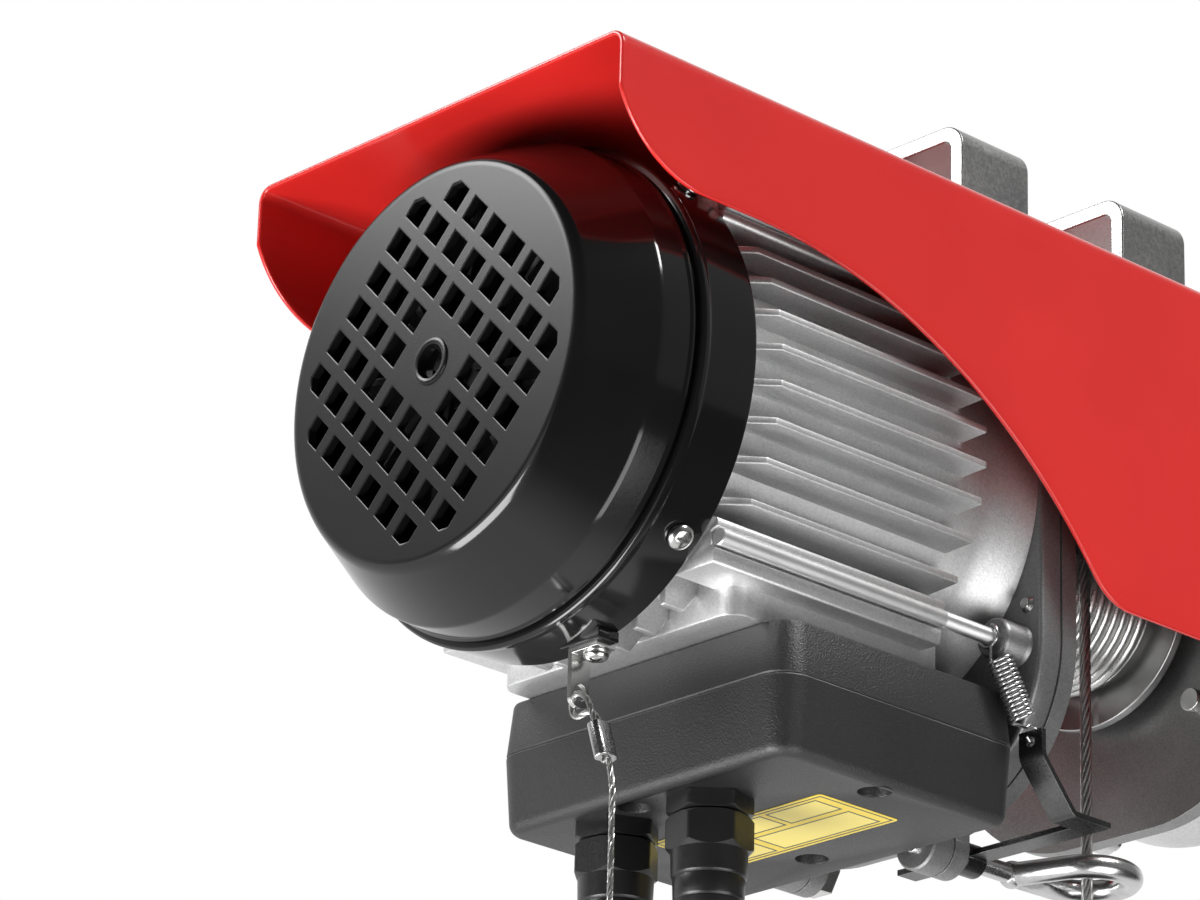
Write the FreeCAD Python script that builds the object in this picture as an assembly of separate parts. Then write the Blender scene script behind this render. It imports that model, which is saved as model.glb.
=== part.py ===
import FreeCAD, Part
import math
import os

V = FreeCAD.Vector
os.makedirs("parts", exist_ok=True)

# Sizes in millimetres. x runs along the motor axis from the face of the fan cover, y = z = 0 on that axis.
run = 0.05
gap = 0.4

barrel_r = 62.0
cover_rear_r = barrel_r + 11.3
cover_lip_r = cover_rear_r + 0.9
cover_can_r = cover_rear_r - 2.5
cover_face_r = cover_can_r - 10.8
cover_can_x = 21.0
cover_lip_x = 34.0
cover_rear_x = 55.0
cover_wall = 2.3
grille_pitch = 0.19 * cover_face_r
grille_bar = 4.0
grille_hole = grille_pitch - grille_bar
cover_screw_x = cover_rear_x - 8.0
m4 = 2.0

housing_x = cover_rear_x + 2.0
barrel_wall = 5.0
barrel_bore = barrel_r - barrel_wall
fin_depth = 9.5
fin_r = barrel_r + fin_depth
fin_pitch = 10.8
fin_top_z = 37.0
fin_count = 8
fin_t = 2.6
fin_end_x = 151.6
rod_y = barrel_r - 5.2
rod_z = barrel_r - 11.5
rod_r = 2.5

flange_x = fin_end_x + 26.4
flange_t = 9.0
flange_half = barrel_r + 5.0
flange_foot = -98.0
plate_t = 6.0
bay = 90.0
frame_x = flange_x + flange_t
bay_x = frame_x + plate_t
bay_end = bay_x + bay
drum_x = bay_x + bay / 2

shaft_r = 6.0
tail_r = 5.0
journal_r = 4.0
core_x0 = housing_x + 25.0
core_x1 = fin_end_x - 9.6
air_gap = 0.4
slot_ring_r = barrel_bore - 13.0
rotor_r = slot_ring_r - 12.0
slot_r = 4.0
bearing_r = 16.0
bearing_w = 10.0

rope_r = 1.8
drum_r = 25.0
drum_len = bay - 8.0
drum_rim_r = 38.0
hub_r = 15.0
hub_bore = 10.0
fall_y = -(drum_r + 3 * rope_r + 0.1)

module_a = 1.0
teeth_a = (12, 60)
teeth_b = (10, 38)
shift_a = 0.3
shift_b = 0.4
counter_z = module_a * sum(teeth_a) / 2
module_b = 2 * counter_z / sum(teeth_b)
gearbox_wall = 4.5
gearbox_cz = 5.0
gearbox_gap = 0.5
counter_top = counter_z + module_a * (teeth_a[1] / 2 + 1)
gearbox_r = counter_top + gearbox_gap + gearbox_wall - gearbox_cz
lug_reach = 4.5
gearbox_x = bay_end + plate_t
gearbox_split = gearbox_x + 25.0
gearbox_end = gearbox_x + 50.0

hood_t = 1.5
hood_side = 6.0
hood_half = max(fin_r, gearbox_r + lug_reach) + hood_side
hood_top = max(fin_r + 3.5, cover_lip_r + 0.8, gearbox_cz + gearbox_r + 3.0) + hood_t
hood_x = -2.5
hood_end = gearbox_end + 2.5
hood_edge_z = 36.4
hood_arc_x = 50.0
hood_arc_r = 180.0
hood_low_z = -38.0

strap_w = 30.0
strap_t = 5.0
beam = 47.0
strap_x = (bay_x + 8.0, bay_end - 8.0)
seat_z = hood_top + 48.0
bolt_y = beam / 2 + strap_t + 9.5
m8 = 4.0

box_len = 95.0
box_x = flange_x - 1.7 - box_len
box_half = 59.6
box_top = -(barrel_r + 4.5)
box_part = box_top - 16.3
box_foot = box_part - 23.3
box_wall = 2.5
box_draft = 1.8
box_corner = (9.5, 6.0)
box_screw_x = box_x + box_len / 2 - 2.5
box_screw_y = box_half - 9.0
box_screws = ((box_screw_x, -box_screw_y), (box_screw_x, box_screw_y))
box_screws += ((box_x + box_len - 17.0, 6.2), (box_x + 9.9, 9.6))
gland_x = box_x + 18.7
glands = ((gland_x, -12.0, 17.0), (gland_x, 26.0, 36.0))
gland_af = 22.0
gland_tube_r = 9.0
cable_r = 4.0

pivot_y = -17.0
pivot_z = flange_foot - 3.5
pivot_r = 3.0
eye_r = 13.0
eye_bar_r = 3.6
arm_x = bay_x + 3.0
arm_w = 8.0
arm_t = 1.8
arm_far_y = -(box_half + 5.8)

stop_top = pivot_z - 12.5
hook_z = stop_top - 92.0
hook_bar_r = 5.5
bowl_r = 19.5
swivel_r = 5.0

tab_x = cover_rear_x - 3.0
tab_y = -8.0
tab_drop = 12.3
wire_r = 0.9


def at(plane, u, v, w=0.0):
    """Point with u and v in the plane and w along its normal."""
    if plane == "x":
        return V(w, u, v)
    if plane == "y":
        return V(u, w, v)
    return V(u, v, w)


def wire(plane, points, w=0.0):
    """Closed wire through (u, v) or (u, v, r) points, with corners rounded where r is given."""
    count = len(points)
    starts = []
    ends = []
    mids = []
    for i in range(count):
        p = points[i]
        r = p[2] if len(p) > 2 else 0.0
        here = V(p[0], p[1], 0)
        back = V(points[i - 1][0], points[i - 1][1], 0) - here
        ahead = V(points[(i + 1) % count][0], points[(i + 1) % count][1], 0) - here
        back.normalize()
        ahead.normalize()
        if r <= 0:
            starts.append(here)
            ends.append(here)
            mids.append(None)
            continue
        half = math.acos(max(-1.0, min(1.0, back.dot(ahead)))) / 2
        reach = r / math.tan(half)
        toward = back + ahead
        toward.normalize()
        starts.append(here + back * reach)
        ends.append(here + ahead * reach)
        mids.append(here + toward * (r / math.sin(half) - r))
    edges = []
    for i in range(count):
        if mids[i] is not None:
            arc = [at(plane, q.x, q.y, w) for q in (starts[i], mids[i], ends[i])]
            edges.append(Part.Arc(*arc).toShape())
        a = at(plane, ends[i].x, ends[i].y, w)
        b = at(plane, starts[(i + 1) % count].x, starts[(i + 1) % count].y, w)
        if (b - a).Length > 1e-6:
            edges.append(Part.makeLine(a, b))
    return Part.Wire(edges)


def prism(plane, points, low, high):
    """Outline pushed along the plane's normal from low to high."""
    face = Part.Face(wire(plane, points, low))
    return face.extrude(at(plane, 0, 0, high - low))


def turned(points):
    """Body turned about the x axis from (x, r) points."""
    return Part.Face(wire("z", points)).revolve(V(0, 0, 0), V(1, 0, 0), 360)


def rod(x0, x1, r, y=0.0, z=0.0):
    """Round bar along x."""
    return Part.makeCylinder(r, x1 - x0, V(x0, y, z), V(1, 0, 0))


def ring(x0, x1, r_out, r_in, y=0.0, z=0.0):
    """Round tube along x."""
    return rod(x0, x1, r_out, y, z).cut(rod(x0 - 1, x1 + 1, r_in, y, z))


def post(x, y, z0, z1, r):
    """Round bar along z."""
    return Part.makeCylinder(r, z1 - z0, V(x, y, z0))


def block(x0, x1, y0, y1, z0, z1):
    """Box between two corners."""
    return Part.makeBox(x1 - x0, y1 - y0, z1 - z0, V(x0, y0, z0))


def hexagon(x, y, flats, turn=0.0):
    """Corners of a hexagon of the given width across flats, the first one turned from the u axis."""
    r = flats / math.sqrt(3)
    angles = [math.radians(60 * k + turn) for k in range(6)]
    return [(x + r * math.cos(a), y + r * math.sin(a)) for a in angles]


def joined(shapes):
    """One solid from overlapping shapes."""
    first = shapes[0]
    return first.multiFuse(shapes[1:]).removeSplitter()


def about_x(shape, degrees):
    """Copy of a shape turned about the motor axis."""
    copy = shape.copy()
    copy.rotate(V(0, 0, 0), V(1, 0, 0), degrees)
    return copy


def export(name, shape):
    """Move a shape to the frame whose origin is the beam seat, and write it."""
    moved = shape.copy()
    moved.translate(V(-drum_x, 0, -seat_z))
    moved.exportStep("parts/" + name + ".step")


def bearing(x0, w, r_in, r_out, y=0.0, z=0.0):
    """Ball bearing closed by shields, sunk a little between its two rings."""
    step = (r_out - r_in) * 0.28
    points = [(x0, r_in), (x0 + w, r_in), (x0 + w, r_in + step), (x0 + w - 0.8, r_in + step)]
    points += [(x0 + w - 0.8, r_out - step), (x0 + w, r_out - step), (x0 + w, r_out), (x0, r_out)]
    points += [(x0, r_out - step), (x0 + 0.8, r_out - step), (x0 + 0.8, r_in + step), (x0, r_in + step)]
    shape = turned(points)
    shape.translate(V(0, y, z))
    return shape


def gear(module, teeth, shift, x0, x1, bore, y, z, tooth_angle):
    """Spur gear with involute flanks; tooth_angle points the middle of one tooth, from +y towards +z."""
    pitch_r = module * teeth / 2
    base_r = pitch_r * math.cos(math.radians(20))
    tip_r = module * (teeth / 2 + 1 + shift) - 0.12 * module
    root_r = module * (teeth / 2 - 1.25 + shift)
    half = (math.pi / 2 + 2 * shift * math.tan(math.radians(20)) - 0.1) / teeth
    involute = math.tan(math.radians(20)) - math.radians(20)
    low_r = max(base_r, root_r)
    flank = []
    for k in range(4):
        r = low_r + (tip_r - low_r) * k / 3
        a = math.acos(min(1.0, base_r / r))
        flank.append((r, half + involute - math.tan(a) + a))
    if root_r < base_r:
        flank.insert(0, (root_r, flank[0][1]))
    points = []
    for n in range(teeth):
        mid = math.radians(tooth_angle) + 2 * math.pi * n / teeth
        side = [(r, mid - t) for r, t in flank] + [(r, mid + t) for r, t in reversed(flank)]
        points += [(y + r * math.cos(t), z + r * math.sin(t)) for r, t in side]
    body = prism("x", points, x0, x1)
    return body.cut(rod(x0 - 1, x1 + 1, bore, y, z)) if bore else body


def cap_screw(x, y, z_under, head_r, head_h, r, length):
    """Screw along z with its head below z_under and its shank above."""
    head = post(x, y, z_under - head_h, z_under, head_r)
    face_z = z_under - head_h
    reach = head_r * 0.6
    slot = block(x - reach, x + reach, y - 0.5, y + 0.5, face_z, face_z + 1.2)
    cross = block(x - 0.5, x + 0.5, y - reach, y + reach, face_z, face_z + 1.2)
    return joined([head, post(x, y, z_under - 0.5, z_under + length, r)]).cut(slot).cut(cross)


# Fan cover: one moulded shell, its front pierced by a square grid set on its corner.
outer = [(0, cover_face_r - 2.5), (0.7, cover_face_r - 0.7), (2.5, cover_face_r + 0.9)]
outer += [(cover_can_x, cover_can_r), (31.0, cover_can_r + 0.8), (31.3, cover_can_r + 1.5)]
outer += [(32.3, cover_can_r + 1.5), (32.5, cover_can_r), (cover_lip_x, cover_can_r)]
outer += [(cover_lip_x + 0.2, cover_lip_r - 0.6), (cover_lip_x + 0.8, cover_lip_r)]
outer += [(cover_lip_x + 2.2, cover_lip_r), (cover_rear_x, cover_rear_r)]
spigot_r = cover_rear_r - cover_wall
can_bore = cover_can_r - cover_wall
face_back = cover_wall + 0.4
inner = [(cover_rear_x, spigot_r), (cover_lip_x + 1.5, spigot_r), (cover_lip_x + 1.5, can_bore)]
inner += [(cover_can_x, can_bore), (face_back, cover_face_r - 1.6), (face_back, 0)]
cover = turned([(0, 0)] + outer + inner)
s = math.sqrt(0.5)
holes = []
steps = (-3.5, -2.5, -1.5, -0.5, 0.5, 1.5, 2.5, 3.5)
for i in steps:
    for j in steps:
        if abs(i) + abs(j) > 6.5 or abs(i) + abs(j) < 1.5:
            continue
        h = grille_hole / 2
        square = [(-h, -h), (h, -h), (h, h), (-h, h)]
        if abs(i) + abs(j) > 5.5:
            u = h if i > 0 else -h
            v = h if j > 0 else -h
            square = [q for q in square if q != (u, v)]
            clip = [(u, v - 2.6 * v / h), (u - 2.6 * u / h, v)]
            square += clip
            square.sort(key=lambda q: math.atan2(q[1], q[0]))
        turned_square = []
        for a, b in square:
            p = i * grille_pitch + a
            q = j * grille_pitch + b
            turned_square.append(((p - q) * s, (p + q) * s))
        holes.append(prism("x", turned_square, -1, cover_wall + 1.2))
holes.append(rod(-2, cover_wall + 1.2, 5.0))
cover = cover.fuse(ring(-0.6, 1.0, 7.0, 4.9)).cut(Part.makeCompound(holes))
boss_z = -(cover_rear_r + 0.4)
tab_hole_z = boss_z - tab_drop
boss = block(tab_x - 5, cover_rear_x, tab_y - 13, tab_y + 3, boss_z, -(spigot_r + 0.2))
cover = cover.fuse(boss)
screw_angles = (45, 135, 225, 315)
for a in screw_angles:
    hole = Part.makeCylinder(m4 + 0.2, 20, V(cover_screw_x, 0, spigot_r - 6))
    cover = cover.cut(about_x(hole, a))
tab_screw_x = tab_x + 0.8
tab_screw_y = tab_y - 6.0
cover = cover.cut(post(tab_screw_x, tab_screw_y, boss_z - 6, 11 - spigot_r, m4))
export("fan_cover", cover.removeSplitter())

# Pan-head screws, radial, holding the cover on the end shield.
screws = []
for a in screw_angles:
    screw = cap_screw(cover_screw_x, 0, 0, 3.9, 2.6, m4, 8.0)
    screw.rotate(V(cover_screw_x, 0, 0), V(1, 0, 0), 180)
    screw.translate(V(0, 0, cover_rear_r + 0.6))
    screws.append(about_x(screw, a))
tab_t = 1.5
screws.append(cap_screw(tab_screw_x, tab_screw_y, boss_z - tab_t, 3.6, 2.6, m4, 10.0))
export("cover_screws", Part.makeCompound(screws))

# Rear end shield: spigot for the cover, web with the rear bearing, spigot into the housing.
shield_x = cover_rear_x - 15.0
shield = joined([
    ring(shield_x, cover_rear_x, spigot_r - run, spigot_r - 6),
    ring(cover_rear_x - 0.2, housing_x, spigot_r - 1.5, bearing_r),
    ring(housing_x - 9, housing_x, spigot_r - 5, bearing_r),
    ring(housing_x - 1, housing_x + 6, barrel_bore, barrel_bore - 4),
])
shield = shield.fuse(ring(housing_x - 11, housing_x - 8, 22.0, shaft_r + 1.5)).removeSplitter()
for a in screw_angles:
    shield = shield.cut(about_x(Part.makeCylinder(m4, 20, V(cover_screw_x, 0, spigot_r - 11)), a))
shield = shield.cut(post(tab_screw_x, tab_screw_y, boss_z - 6, 11 - spigot_r, m4))
export("end_shield", shield)
rear_bearing_x = housing_x - 8
rear_bearing = bearing(rear_bearing_x, 8.0, shaft_r + run, bearing_r)

# Motor housing: finned barrel with four rod ledges and the pad for the terminal box.
barrel = turned([
    (housing_x, 0), (housing_x, barrel_r), (fin_end_x + 8.4, barrel_r), (flange_x - 8, barrel_r + 3),
    (flange_x, barrel_r + 4.5), (flange_x, 0),
])
parts = [barrel]
root = 0.62 * barrel_r
top_root = 0.8 * barrel_r
for n in range(fin_count):
    z = fin_top_z - n * fin_pitch
    tip = math.sqrt(fin_r ** 2 - z ** 2)
    fin = [(housing_x + 3, root), (housing_x + 3, tip - 6), (housing_x + 10, tip), (fin_end_x - 1.3, tip)]
    fin.append((fin_end_x, root))
    for side in (1, -1):
        points = [(x, side * y) for x, y in fin]
        parts.append(prism("z", points, z - fin_t / 2, z + fin_t / 2))
for n in range(-2, 3):
    y = n * fin_pitch
    tip = math.sqrt(fin_r ** 2 - y ** 2)
    fin = [(housing_x + 3, top_root), (housing_x + 3, tip - 6), (housing_x + 10, tip), (fin_end_x - 1.3, tip)]
    fin.append((fin_end_x, top_root))
    parts.append(prism("y", fin, y - fin_t / 2, y + fin_t / 2))
pad_x = box_x - 9.1
for n in range(-3, 4):
    y = n * fin_pitch
    tip = math.sqrt(fin_r ** 2 - y ** 2)
    fin = [(housing_x + 3, -top_root), (housing_x + 3, -tip), (pad_x - 4.5, -tip), (pad_x + 0.5, 6.3 - tip)]
    fin.append((pad_x + 0.5, -top_root))
    parts.append(prism("y", fin, y - fin_t / 2, y + fin_t / 2))
ledge_y = rod_y - 16.8
ledge = [(ledge_y, rod_z - 9.5), (rod_y + 0.3, rod_z - 5.6, 1.5), (rod_y - 1.7, rod_z + 10.5, 1.5)]
ledge.append((ledge_y, rod_z + 10.5))
for sy in (1, -1):
    for sz in (1, -1):
        points = [(sy * p[0], sz * p[1]) + p[2:] for p in ledge]
        parts.append(prism("x", points, housing_x, fin_end_x - 3.6))
pad_y = box_half - 11.6
pad_end = fin_end_x + 2.4
pad = [(pad_x, -pad_y, 6.0), (pad_end, -pad_y), (pad_end, pad_y), (pad_x, pad_y, 6.0)]
parts.append(prism("z", pad, box_top, -root))
housing = joined(parts).cut(rod(housing_x - 1, flange_x + 1, barrel_bore))
for sy in (1, -1):
    for sz in (1, -1):
        housing = housing.cut(rod(housing_x + 0.5, fin_end_x, rod_r + 0.1, sy * rod_y, sz * rod_z))
housing = housing.cut(block(fin_end_x + 1.4, flange_x + 1, -barrel_r, barrel_r, 2 * box_top, box_top))
lead_bore_x = box_x + 30.7
housing = housing.cut(post(lead_bore_x, 0, box_top - 1, 7 - barrel_bore, 6.0))
mount_screws = []
for x in (box_x + 22.7, box_x + 64.7):
    for side in (-1, 1):
        mount_screws.append((x, side * (pad_y - 6)))
for x, y in mount_screws:
    housing = housing.cut(post(x, y, box_top - 1, box_top + 6, m4))
export("motor_housing", housing)

# Stator, windings through its slots, and rotor.
slots = []
bars = []
for n in range(12):
    a = math.radians(30 * n + 15)
    y = slot_ring_r * math.cos(a)
    z = slot_ring_r * math.sin(a)
    slots.append(rod(core_x0 - 1, core_x1 + 1, slot_r, y, z))
    bars.append(rod(core_x0 - 6, core_x1 + 6, slot_r, y, z))
stator = ring(core_x0, core_x1, barrel_bore, rotor_r + air_gap).cut(Part.makeCompound(slots))
export("stator_core", stator)
end_turn = [(0, slot_ring_r - 5.5, 3.0), (0, slot_ring_r + 6.5, 3.0)]
end_turn += [(14, slot_ring_r + 7.5, 4.0), (14, slot_ring_r - 6.5, 4.0)]
front_turn = [(core_x1 + 1.5 + p[0], p[1], p[2]) for p in end_turn]
back_turn = [(core_x0 - 1.5 - p[0], p[1], p[2]) for p in end_turn]
export("stator_windings", joined([turned(back_turn), turned(front_turn)] + bars))
rotor = joined([
    ring(core_x0, core_x1, rotor_r, 8.0),
    ring(core_x0 - 6, core_x0 + 1, rotor_r - 3, 20.0),
    ring(core_x1 - 1, core_x1 + 6, rotor_r - 3, 20.0),
])
export("rotor_core", rotor)

pinion_x0 = gearbox_x + 26.5
pinion_x1 = pinion_x0 + 11.5
end_bearing_x = pinion_x1 + 1.0
shaft = turned([
    (8, 0), (8, tail_r - 0.6), (8.6, tail_r), (housing_x - 12, tail_r), (housing_x - 12, shaft_r),
    (core_x0 - 8, shaft_r), (core_x0 - 8, 8.0), (core_x1 + 10, 8.0), (core_x1 + 10, shaft_r),
    (pinion_x0 - 0.5, shaft_r), (pinion_x0 - 0.5, journal_r), (end_bearing_x + 6.5, journal_r),
    (end_bearing_x + 6.5, 0),
])
export("motor_shaft", shaft)

# Fan on the shaft's tail, seen through the grille.
fan_r = cover_face_r - 6.0
fan_parts = [ring(10, 23.5, 11.0, tail_r), ring(21.5, 23.5, fan_r, tail_r)]
for n in range(8):
    blade = prism("x", [(9, -1), (fan_r - 3, -1), (fan_r - 1, 1), (9, 1)], 8.5, 22.5)
    fan_parts.append(about_x(blade, 45 * n + 10))
export("cooling_fan", joined(fan_parts))

# Brake: disc on the shaft, armature that slides, magnet on the end shield.
brake_x = 26.5
brake_r = 33.0
brake_slide = 0.6
disc_t = 4.5
armature_t = 4.0
guide_r = 2.0
armature_x = brake_x + disc_t + gap
magnet_x = armature_x + armature_t + brake_slide + gap
disc_hub = ring(brake_x - 2.5, brake_x + 1, 10.0, tail_r)
export("brake_disc", joined([ring(brake_x, brake_x + disc_t, brake_r, tail_r), disc_hub]))
armature = ring(armature_x, armature_x + armature_t, brake_r + 1, 12.0)
magnet = ring(magnet_x, housing_x - 11, brake_r + 1, 12.0)
pins = []
for n in range(3):
    a = math.radians(120 * n + 30)
    y = 28.0 * math.cos(a)
    z = 28.0 * math.sin(a)
    armature = armature.cut(rod(armature_x - 1, magnet_x, guide_r + run, y, z))
    pins.append(rod(armature_x + 0.5, magnet_x + 1, guide_r, y, z))
export("brake_armature", armature)
magnet_seat = ring(housing_x - 11.5, housing_x - 9, brake_r + 1, 22.0)
export("brake_magnet", joined([magnet, magnet_seat] + pins))

# Motor flange: tall plate with rod bosses, front bearing, drum spigot, shaft lug and anchor lug.
top_r = 54.0
foot_r = flange_half - 17.0
outline = [(-flange_half, flange_half, top_r), (flange_half, flange_half, top_r)]
outline += [(flange_half, flange_foot, foot_r), (-flange_half, flange_foot, foot_r)]
anchor_y = flange_half - 27.0
anchor_z = flange_foot + 3.0
flange_screw_y = flange_half - 5.4
flange_screws = ((-flange_screw_y, -38.9), (flange_screw_y, -38.9))
frame_screw_at = (barrel_r - 11.8) / math.sqrt(2)
frame_screws = ((-frame_screw_at, frame_screw_at), (frame_screw_at, frame_screw_at))
case_screws = frame_screws + ((-frame_screw_at, -frame_screw_at), (frame_screw_at, -frame_screw_at))


def tall_plate(x0, x1):
    """Plate with the outline shared by the flange and the drum frame."""
    plate = prism("x", outline, x0, x1)
    lugs = [rod(x0, x1, 8.0, pivot_y, pivot_z), rod(x0, x1, 8.0, anchor_y, anchor_z)]
    lugs.append(block(x0, x1, pivot_y - 8, pivot_y + 8, flange_foot - 2, -80))
    return joined([plate] + lugs)


spigot_end = bay_x + 11.0
flange_parts = [tall_plate(flange_x, frame_x), ring(flange_x - 6, flange_x + 1, barrel_bore, barrel_bore - 4)]
flange_parts.append(rod(flange_x - 4, flange_x + 1, bearing_r + 5))
flange_parts.append(rod(frame_x - 1, spigot_end, hub_r))
boss_shape = [(flange_x - 10, 0), (flange_x - 10, 5.2), (flange_x - 9, 6.2)]
boss_shape += [(flange_x + 1, 6.2), (flange_x + 1, 0)]
for sy in (1, -1):
    for sz in (1, -1):
        boss = turned(boss_shape)
        boss.translate(V(0, sy * rod_y, sz * rod_z))
        flange_parts.append(boss)
flange = joined(flange_parts)
front_bearing_x = flange_x - 4
cuts = [rod(front_bearing_x - 1, front_bearing_x + bearing_w, bearing_r)]
cuts.append(rod(flange_x, spigot_end + 1, shaft_r + 2))
cuts.append(rod(flange_x - 1, frame_x + 1, pivot_r + run, pivot_y, pivot_z))
cuts.append(rod(flange_x - 1, frame_x + 1, m8, anchor_y, anchor_z))
for sy in (1, -1):
    for sz in (1, -1):
        cuts.append(rod(flange_x - 14, flange_x + 4, rod_r, sy * rod_y, sz * rod_z))
for y, z in flange_screws:
    cuts.append(rod(flange_x - 1, frame_x + 1, m4, y, z))
for y, z in frame_screws:
    cuts.append(rod(frame_x - 7, frame_x + 1, m4, y, z))
for cut in cuts:
    flange = flange.cut(cut)
export("motor_flange", flange)
front_bearing = bearing(front_bearing_x, bearing_w, shaft_r + run, bearing_r)
rods = []
for sy in (1, -1):
    for sz in (1, -1):
        rods.append(rod(housing_x + 0.5, flange_x + 4, rod_r, sy * rod_y, sz * rod_z))
export("tie_rods", Part.makeCompound(rods))

# Drum frame: two tall plates under one arch, with four pads for the hanger bolts.
pad_half = 12.0
gear_side_outline = [(p[0], max(p[1], -72.0), p[2]) for p in outline]
frame_parts = [tall_plate(frame_x, bay_x), prism("x", gear_side_outline, bay_end, gearbox_x)]
above = block(bay_x - 2, bay_end + 2, -flange_half, flange_half, -8, flange_half)
arch = ring(bay_x - 1, bay_end + 1, barrel_r, barrel_bore).common(above)
frame_parts.append(arch)
pad_top = hood_top - hood_t
for x in strap_x:
    for side in (1, -1):
        y = side * bolt_y
        frame_parts.append(block(x - pad_half, x + pad_half, y - 9, y + 9, 40, pad_top))
frame = joined(frame_parts)
frame = frame.cut(rod(bay_x + 0.001, bay_end - 0.001, barrel_bore))
drum_bearing_r = 23.5
frame = frame.cut(rod(frame_x - 1, bay_x + 1, hub_r + 0.5))
frame = frame.cut(rod(bay_end - 1, gearbox_x + 1, drum_bearing_r))
frame = frame.cut(rod(frame_x - 1, bay_x + 1, pivot_r + run, pivot_y, pivot_z))
frame = frame.cut(rod(frame_x - 1, bay_x + 1, m8, anchor_y, anchor_z))
frame = frame.cut(rod(bay_end - 1, gearbox_x + 1, 12.0, 0, counter_z))
for y, z in flange_screws + frame_screws:
    frame = frame.cut(rod(frame_x - 1, bay_x + 1, m4, y, z))
for y, z in case_screws:
    frame = frame.cut(rod(bay_end - 1, gearbox_x + 1, m4, y, z))
for x in strap_x:
    for side in (1, -1):
        frame = frame.cut(post(x, side * bolt_y, pad_top - 16, pad_top + 1, m8))
export("drum_frame", frame)

# Screws that hold the flange, the drum frame and the gearbox together.
joint_screws = []
for y, z in flange_screws:
    dome = turned([(flange_x - 1.8, 0), (flange_x - 1.5, 1.6), (flange_x, 2.7), (flange_x, 0)])
    dome.translate(V(0, y, z))
    joint_screws.append(joined([dome, rod(flange_x - 0.5, bay_x - 1, m4, y, z)]))
for y, z in frame_screws:
    head = rod(bay_x, bay_x + 3.2, 3.6, y, z)
    joint_screws.append(joined([head, rod(frame_x - 6, bay_x + 1, m4, y, z)]))
for y, z in case_screws:
    head = rod(bay_end - 3.2, bay_end, 3.6, y, z)
    joint_screws.append(joined([head, rod(bay_end - 1, gearbox_x + 5, m4, y, z)]))
export("frame_screws", Part.makeCompound(joint_screws))
anchor_head = prism("x", hexagon(anchor_y, anchor_z, 13.0), bay_x, bay_x + 5.5)
export("anchor_bolt", joined([anchor_head, rod(flange_x - 1.0, bay_x + 1, m8, anchor_y, anchor_z)]))

# Rope drum with its hollow hub, bearings and gear; the wound rope lies on it in one and a half layers.
drum_x0 = drum_x - drum_len / 2
drum_x1 = drum_x + drum_len / 2
gear_x0 = gearbox_x + 8.0
gear_x1 = gear_x0 + 14.0
drum_bearing_w = 7.0
drum_seat_r = 21.0
drum = turned([
    (drum_x0, drum_seat_r), (drum_x0, drum_rim_r - 1), (drum_x0 + 1, drum_rim_r), (drum_x0 + 4, drum_rim_r),
    (drum_x0 + 4, drum_r), (drum_x1 - 4, drum_r), (drum_x1 - 4, drum_rim_r), (drum_x1 - 1, drum_rim_r),
    (drum_x1, drum_rim_r - 1), (drum_x1, hub_r + 3), (bay_end + 0.5, hub_r + 3), (bay_end + 0.5, hub_r),
    (gear_x1 + 1, hub_r), (gear_x1 + 1, hub_bore), (drum_x1 - 6, hub_bore), (drum_x1 - 10, 18.0),
    (drum_x0 + drum_bearing_w + 4, 18.0), (drum_x0 + drum_bearing_w + 4, drum_seat_r),
])
export("rope_drum", drum)
motor_side = bearing(drum_x0 + 0.4, drum_bearing_w, hub_r, drum_seat_r - run)
gear_side = bearing(bay_end + 1, 9.0, hub_r + run, drum_bearing_r)
export("drum_bearings", Part.makeCompound([motor_side, gear_side]))
layer_end = drum_x - rope_r - gap
one_layer = drum_r + 2 * rope_r
two_layers = drum_r + 4 * rope_r
wound = [(drum_x0 + 4.2, drum_r), (drum_x0 + 4.2, two_layers), (layer_end, two_layers)]
wound += [(layer_end, one_layer), (drum_x1 - 4.2, one_layer), (drum_x1 - 4.2, drum_r)]
export("rope_winding", turned(wound))
clamp_y = 29.0
clamp = block(drum_x1, drum_x1 + 3.0, clamp_y - 5, clamp_y + 5, -5.0, 5.0)
export("rope_clamp", joined([clamp, rod(drum_x1, drum_x1 + 3.6, 2.0, clamp_y, 0.0)]))

# Two-stage gear train back to the drum's axis.
drum_mesh = 90 + 180 / teeth_b[1]
export("drum_gear", gear(module_b, teeth_b[1], -shift_b, gear_x0, gear_x1, hub_r, 0, 0, drum_mesh))
small = gear(module_b, teeth_b[0], shift_b, gear_x0 - 1, gear_x1 + 1.5, 0, 0, counter_z, -90)
counter = joined([small, rod(gearbox_x + 1, gearbox_end - 3.5, tail_r, 0, counter_z)])
export("countershaft", counter)
face = (pinion_x0 + 0.8, pinion_x1 - 0.8)
counter_mesh = -90 + 180 / teeth_a[1]
big = gear(module_a, teeth_a[1], -shift_a, face[0], face[1], tail_r, 0, counter_z, counter_mesh)
export("counter_gear", big)
export("motor_pinion", gear(module_a, teeth_a[0], shift_a, pinion_x0, pinion_x1, journal_r, 0, 0, 90))

# Gearbox: round shell in two halves with bearing pockets.
lug_r = 5.5
bolt_ring_r = gearbox_r + lug_reach - 2.0
bolt_angles = [0, 60, 120, 180, 240, 300]


def lugs(x0, x1):
    """Six screw lugs on the gearbox rim."""
    out = []
    for a in bolt_angles:
        y = bolt_ring_r * math.cos(math.radians(a))
        z = gearbox_cz + bolt_ring_r * math.sin(math.radians(a))
        out.append(rod(x0, x1, lug_r, y, z))
    return out


def lug_holes(x0, x1, r):
    """Screw holes through those lugs."""
    return [rod(x0, x1, r, t.BoundBox.Center.y, t.BoundBox.Center.z) for t in lugs(x0, x1)]


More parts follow.
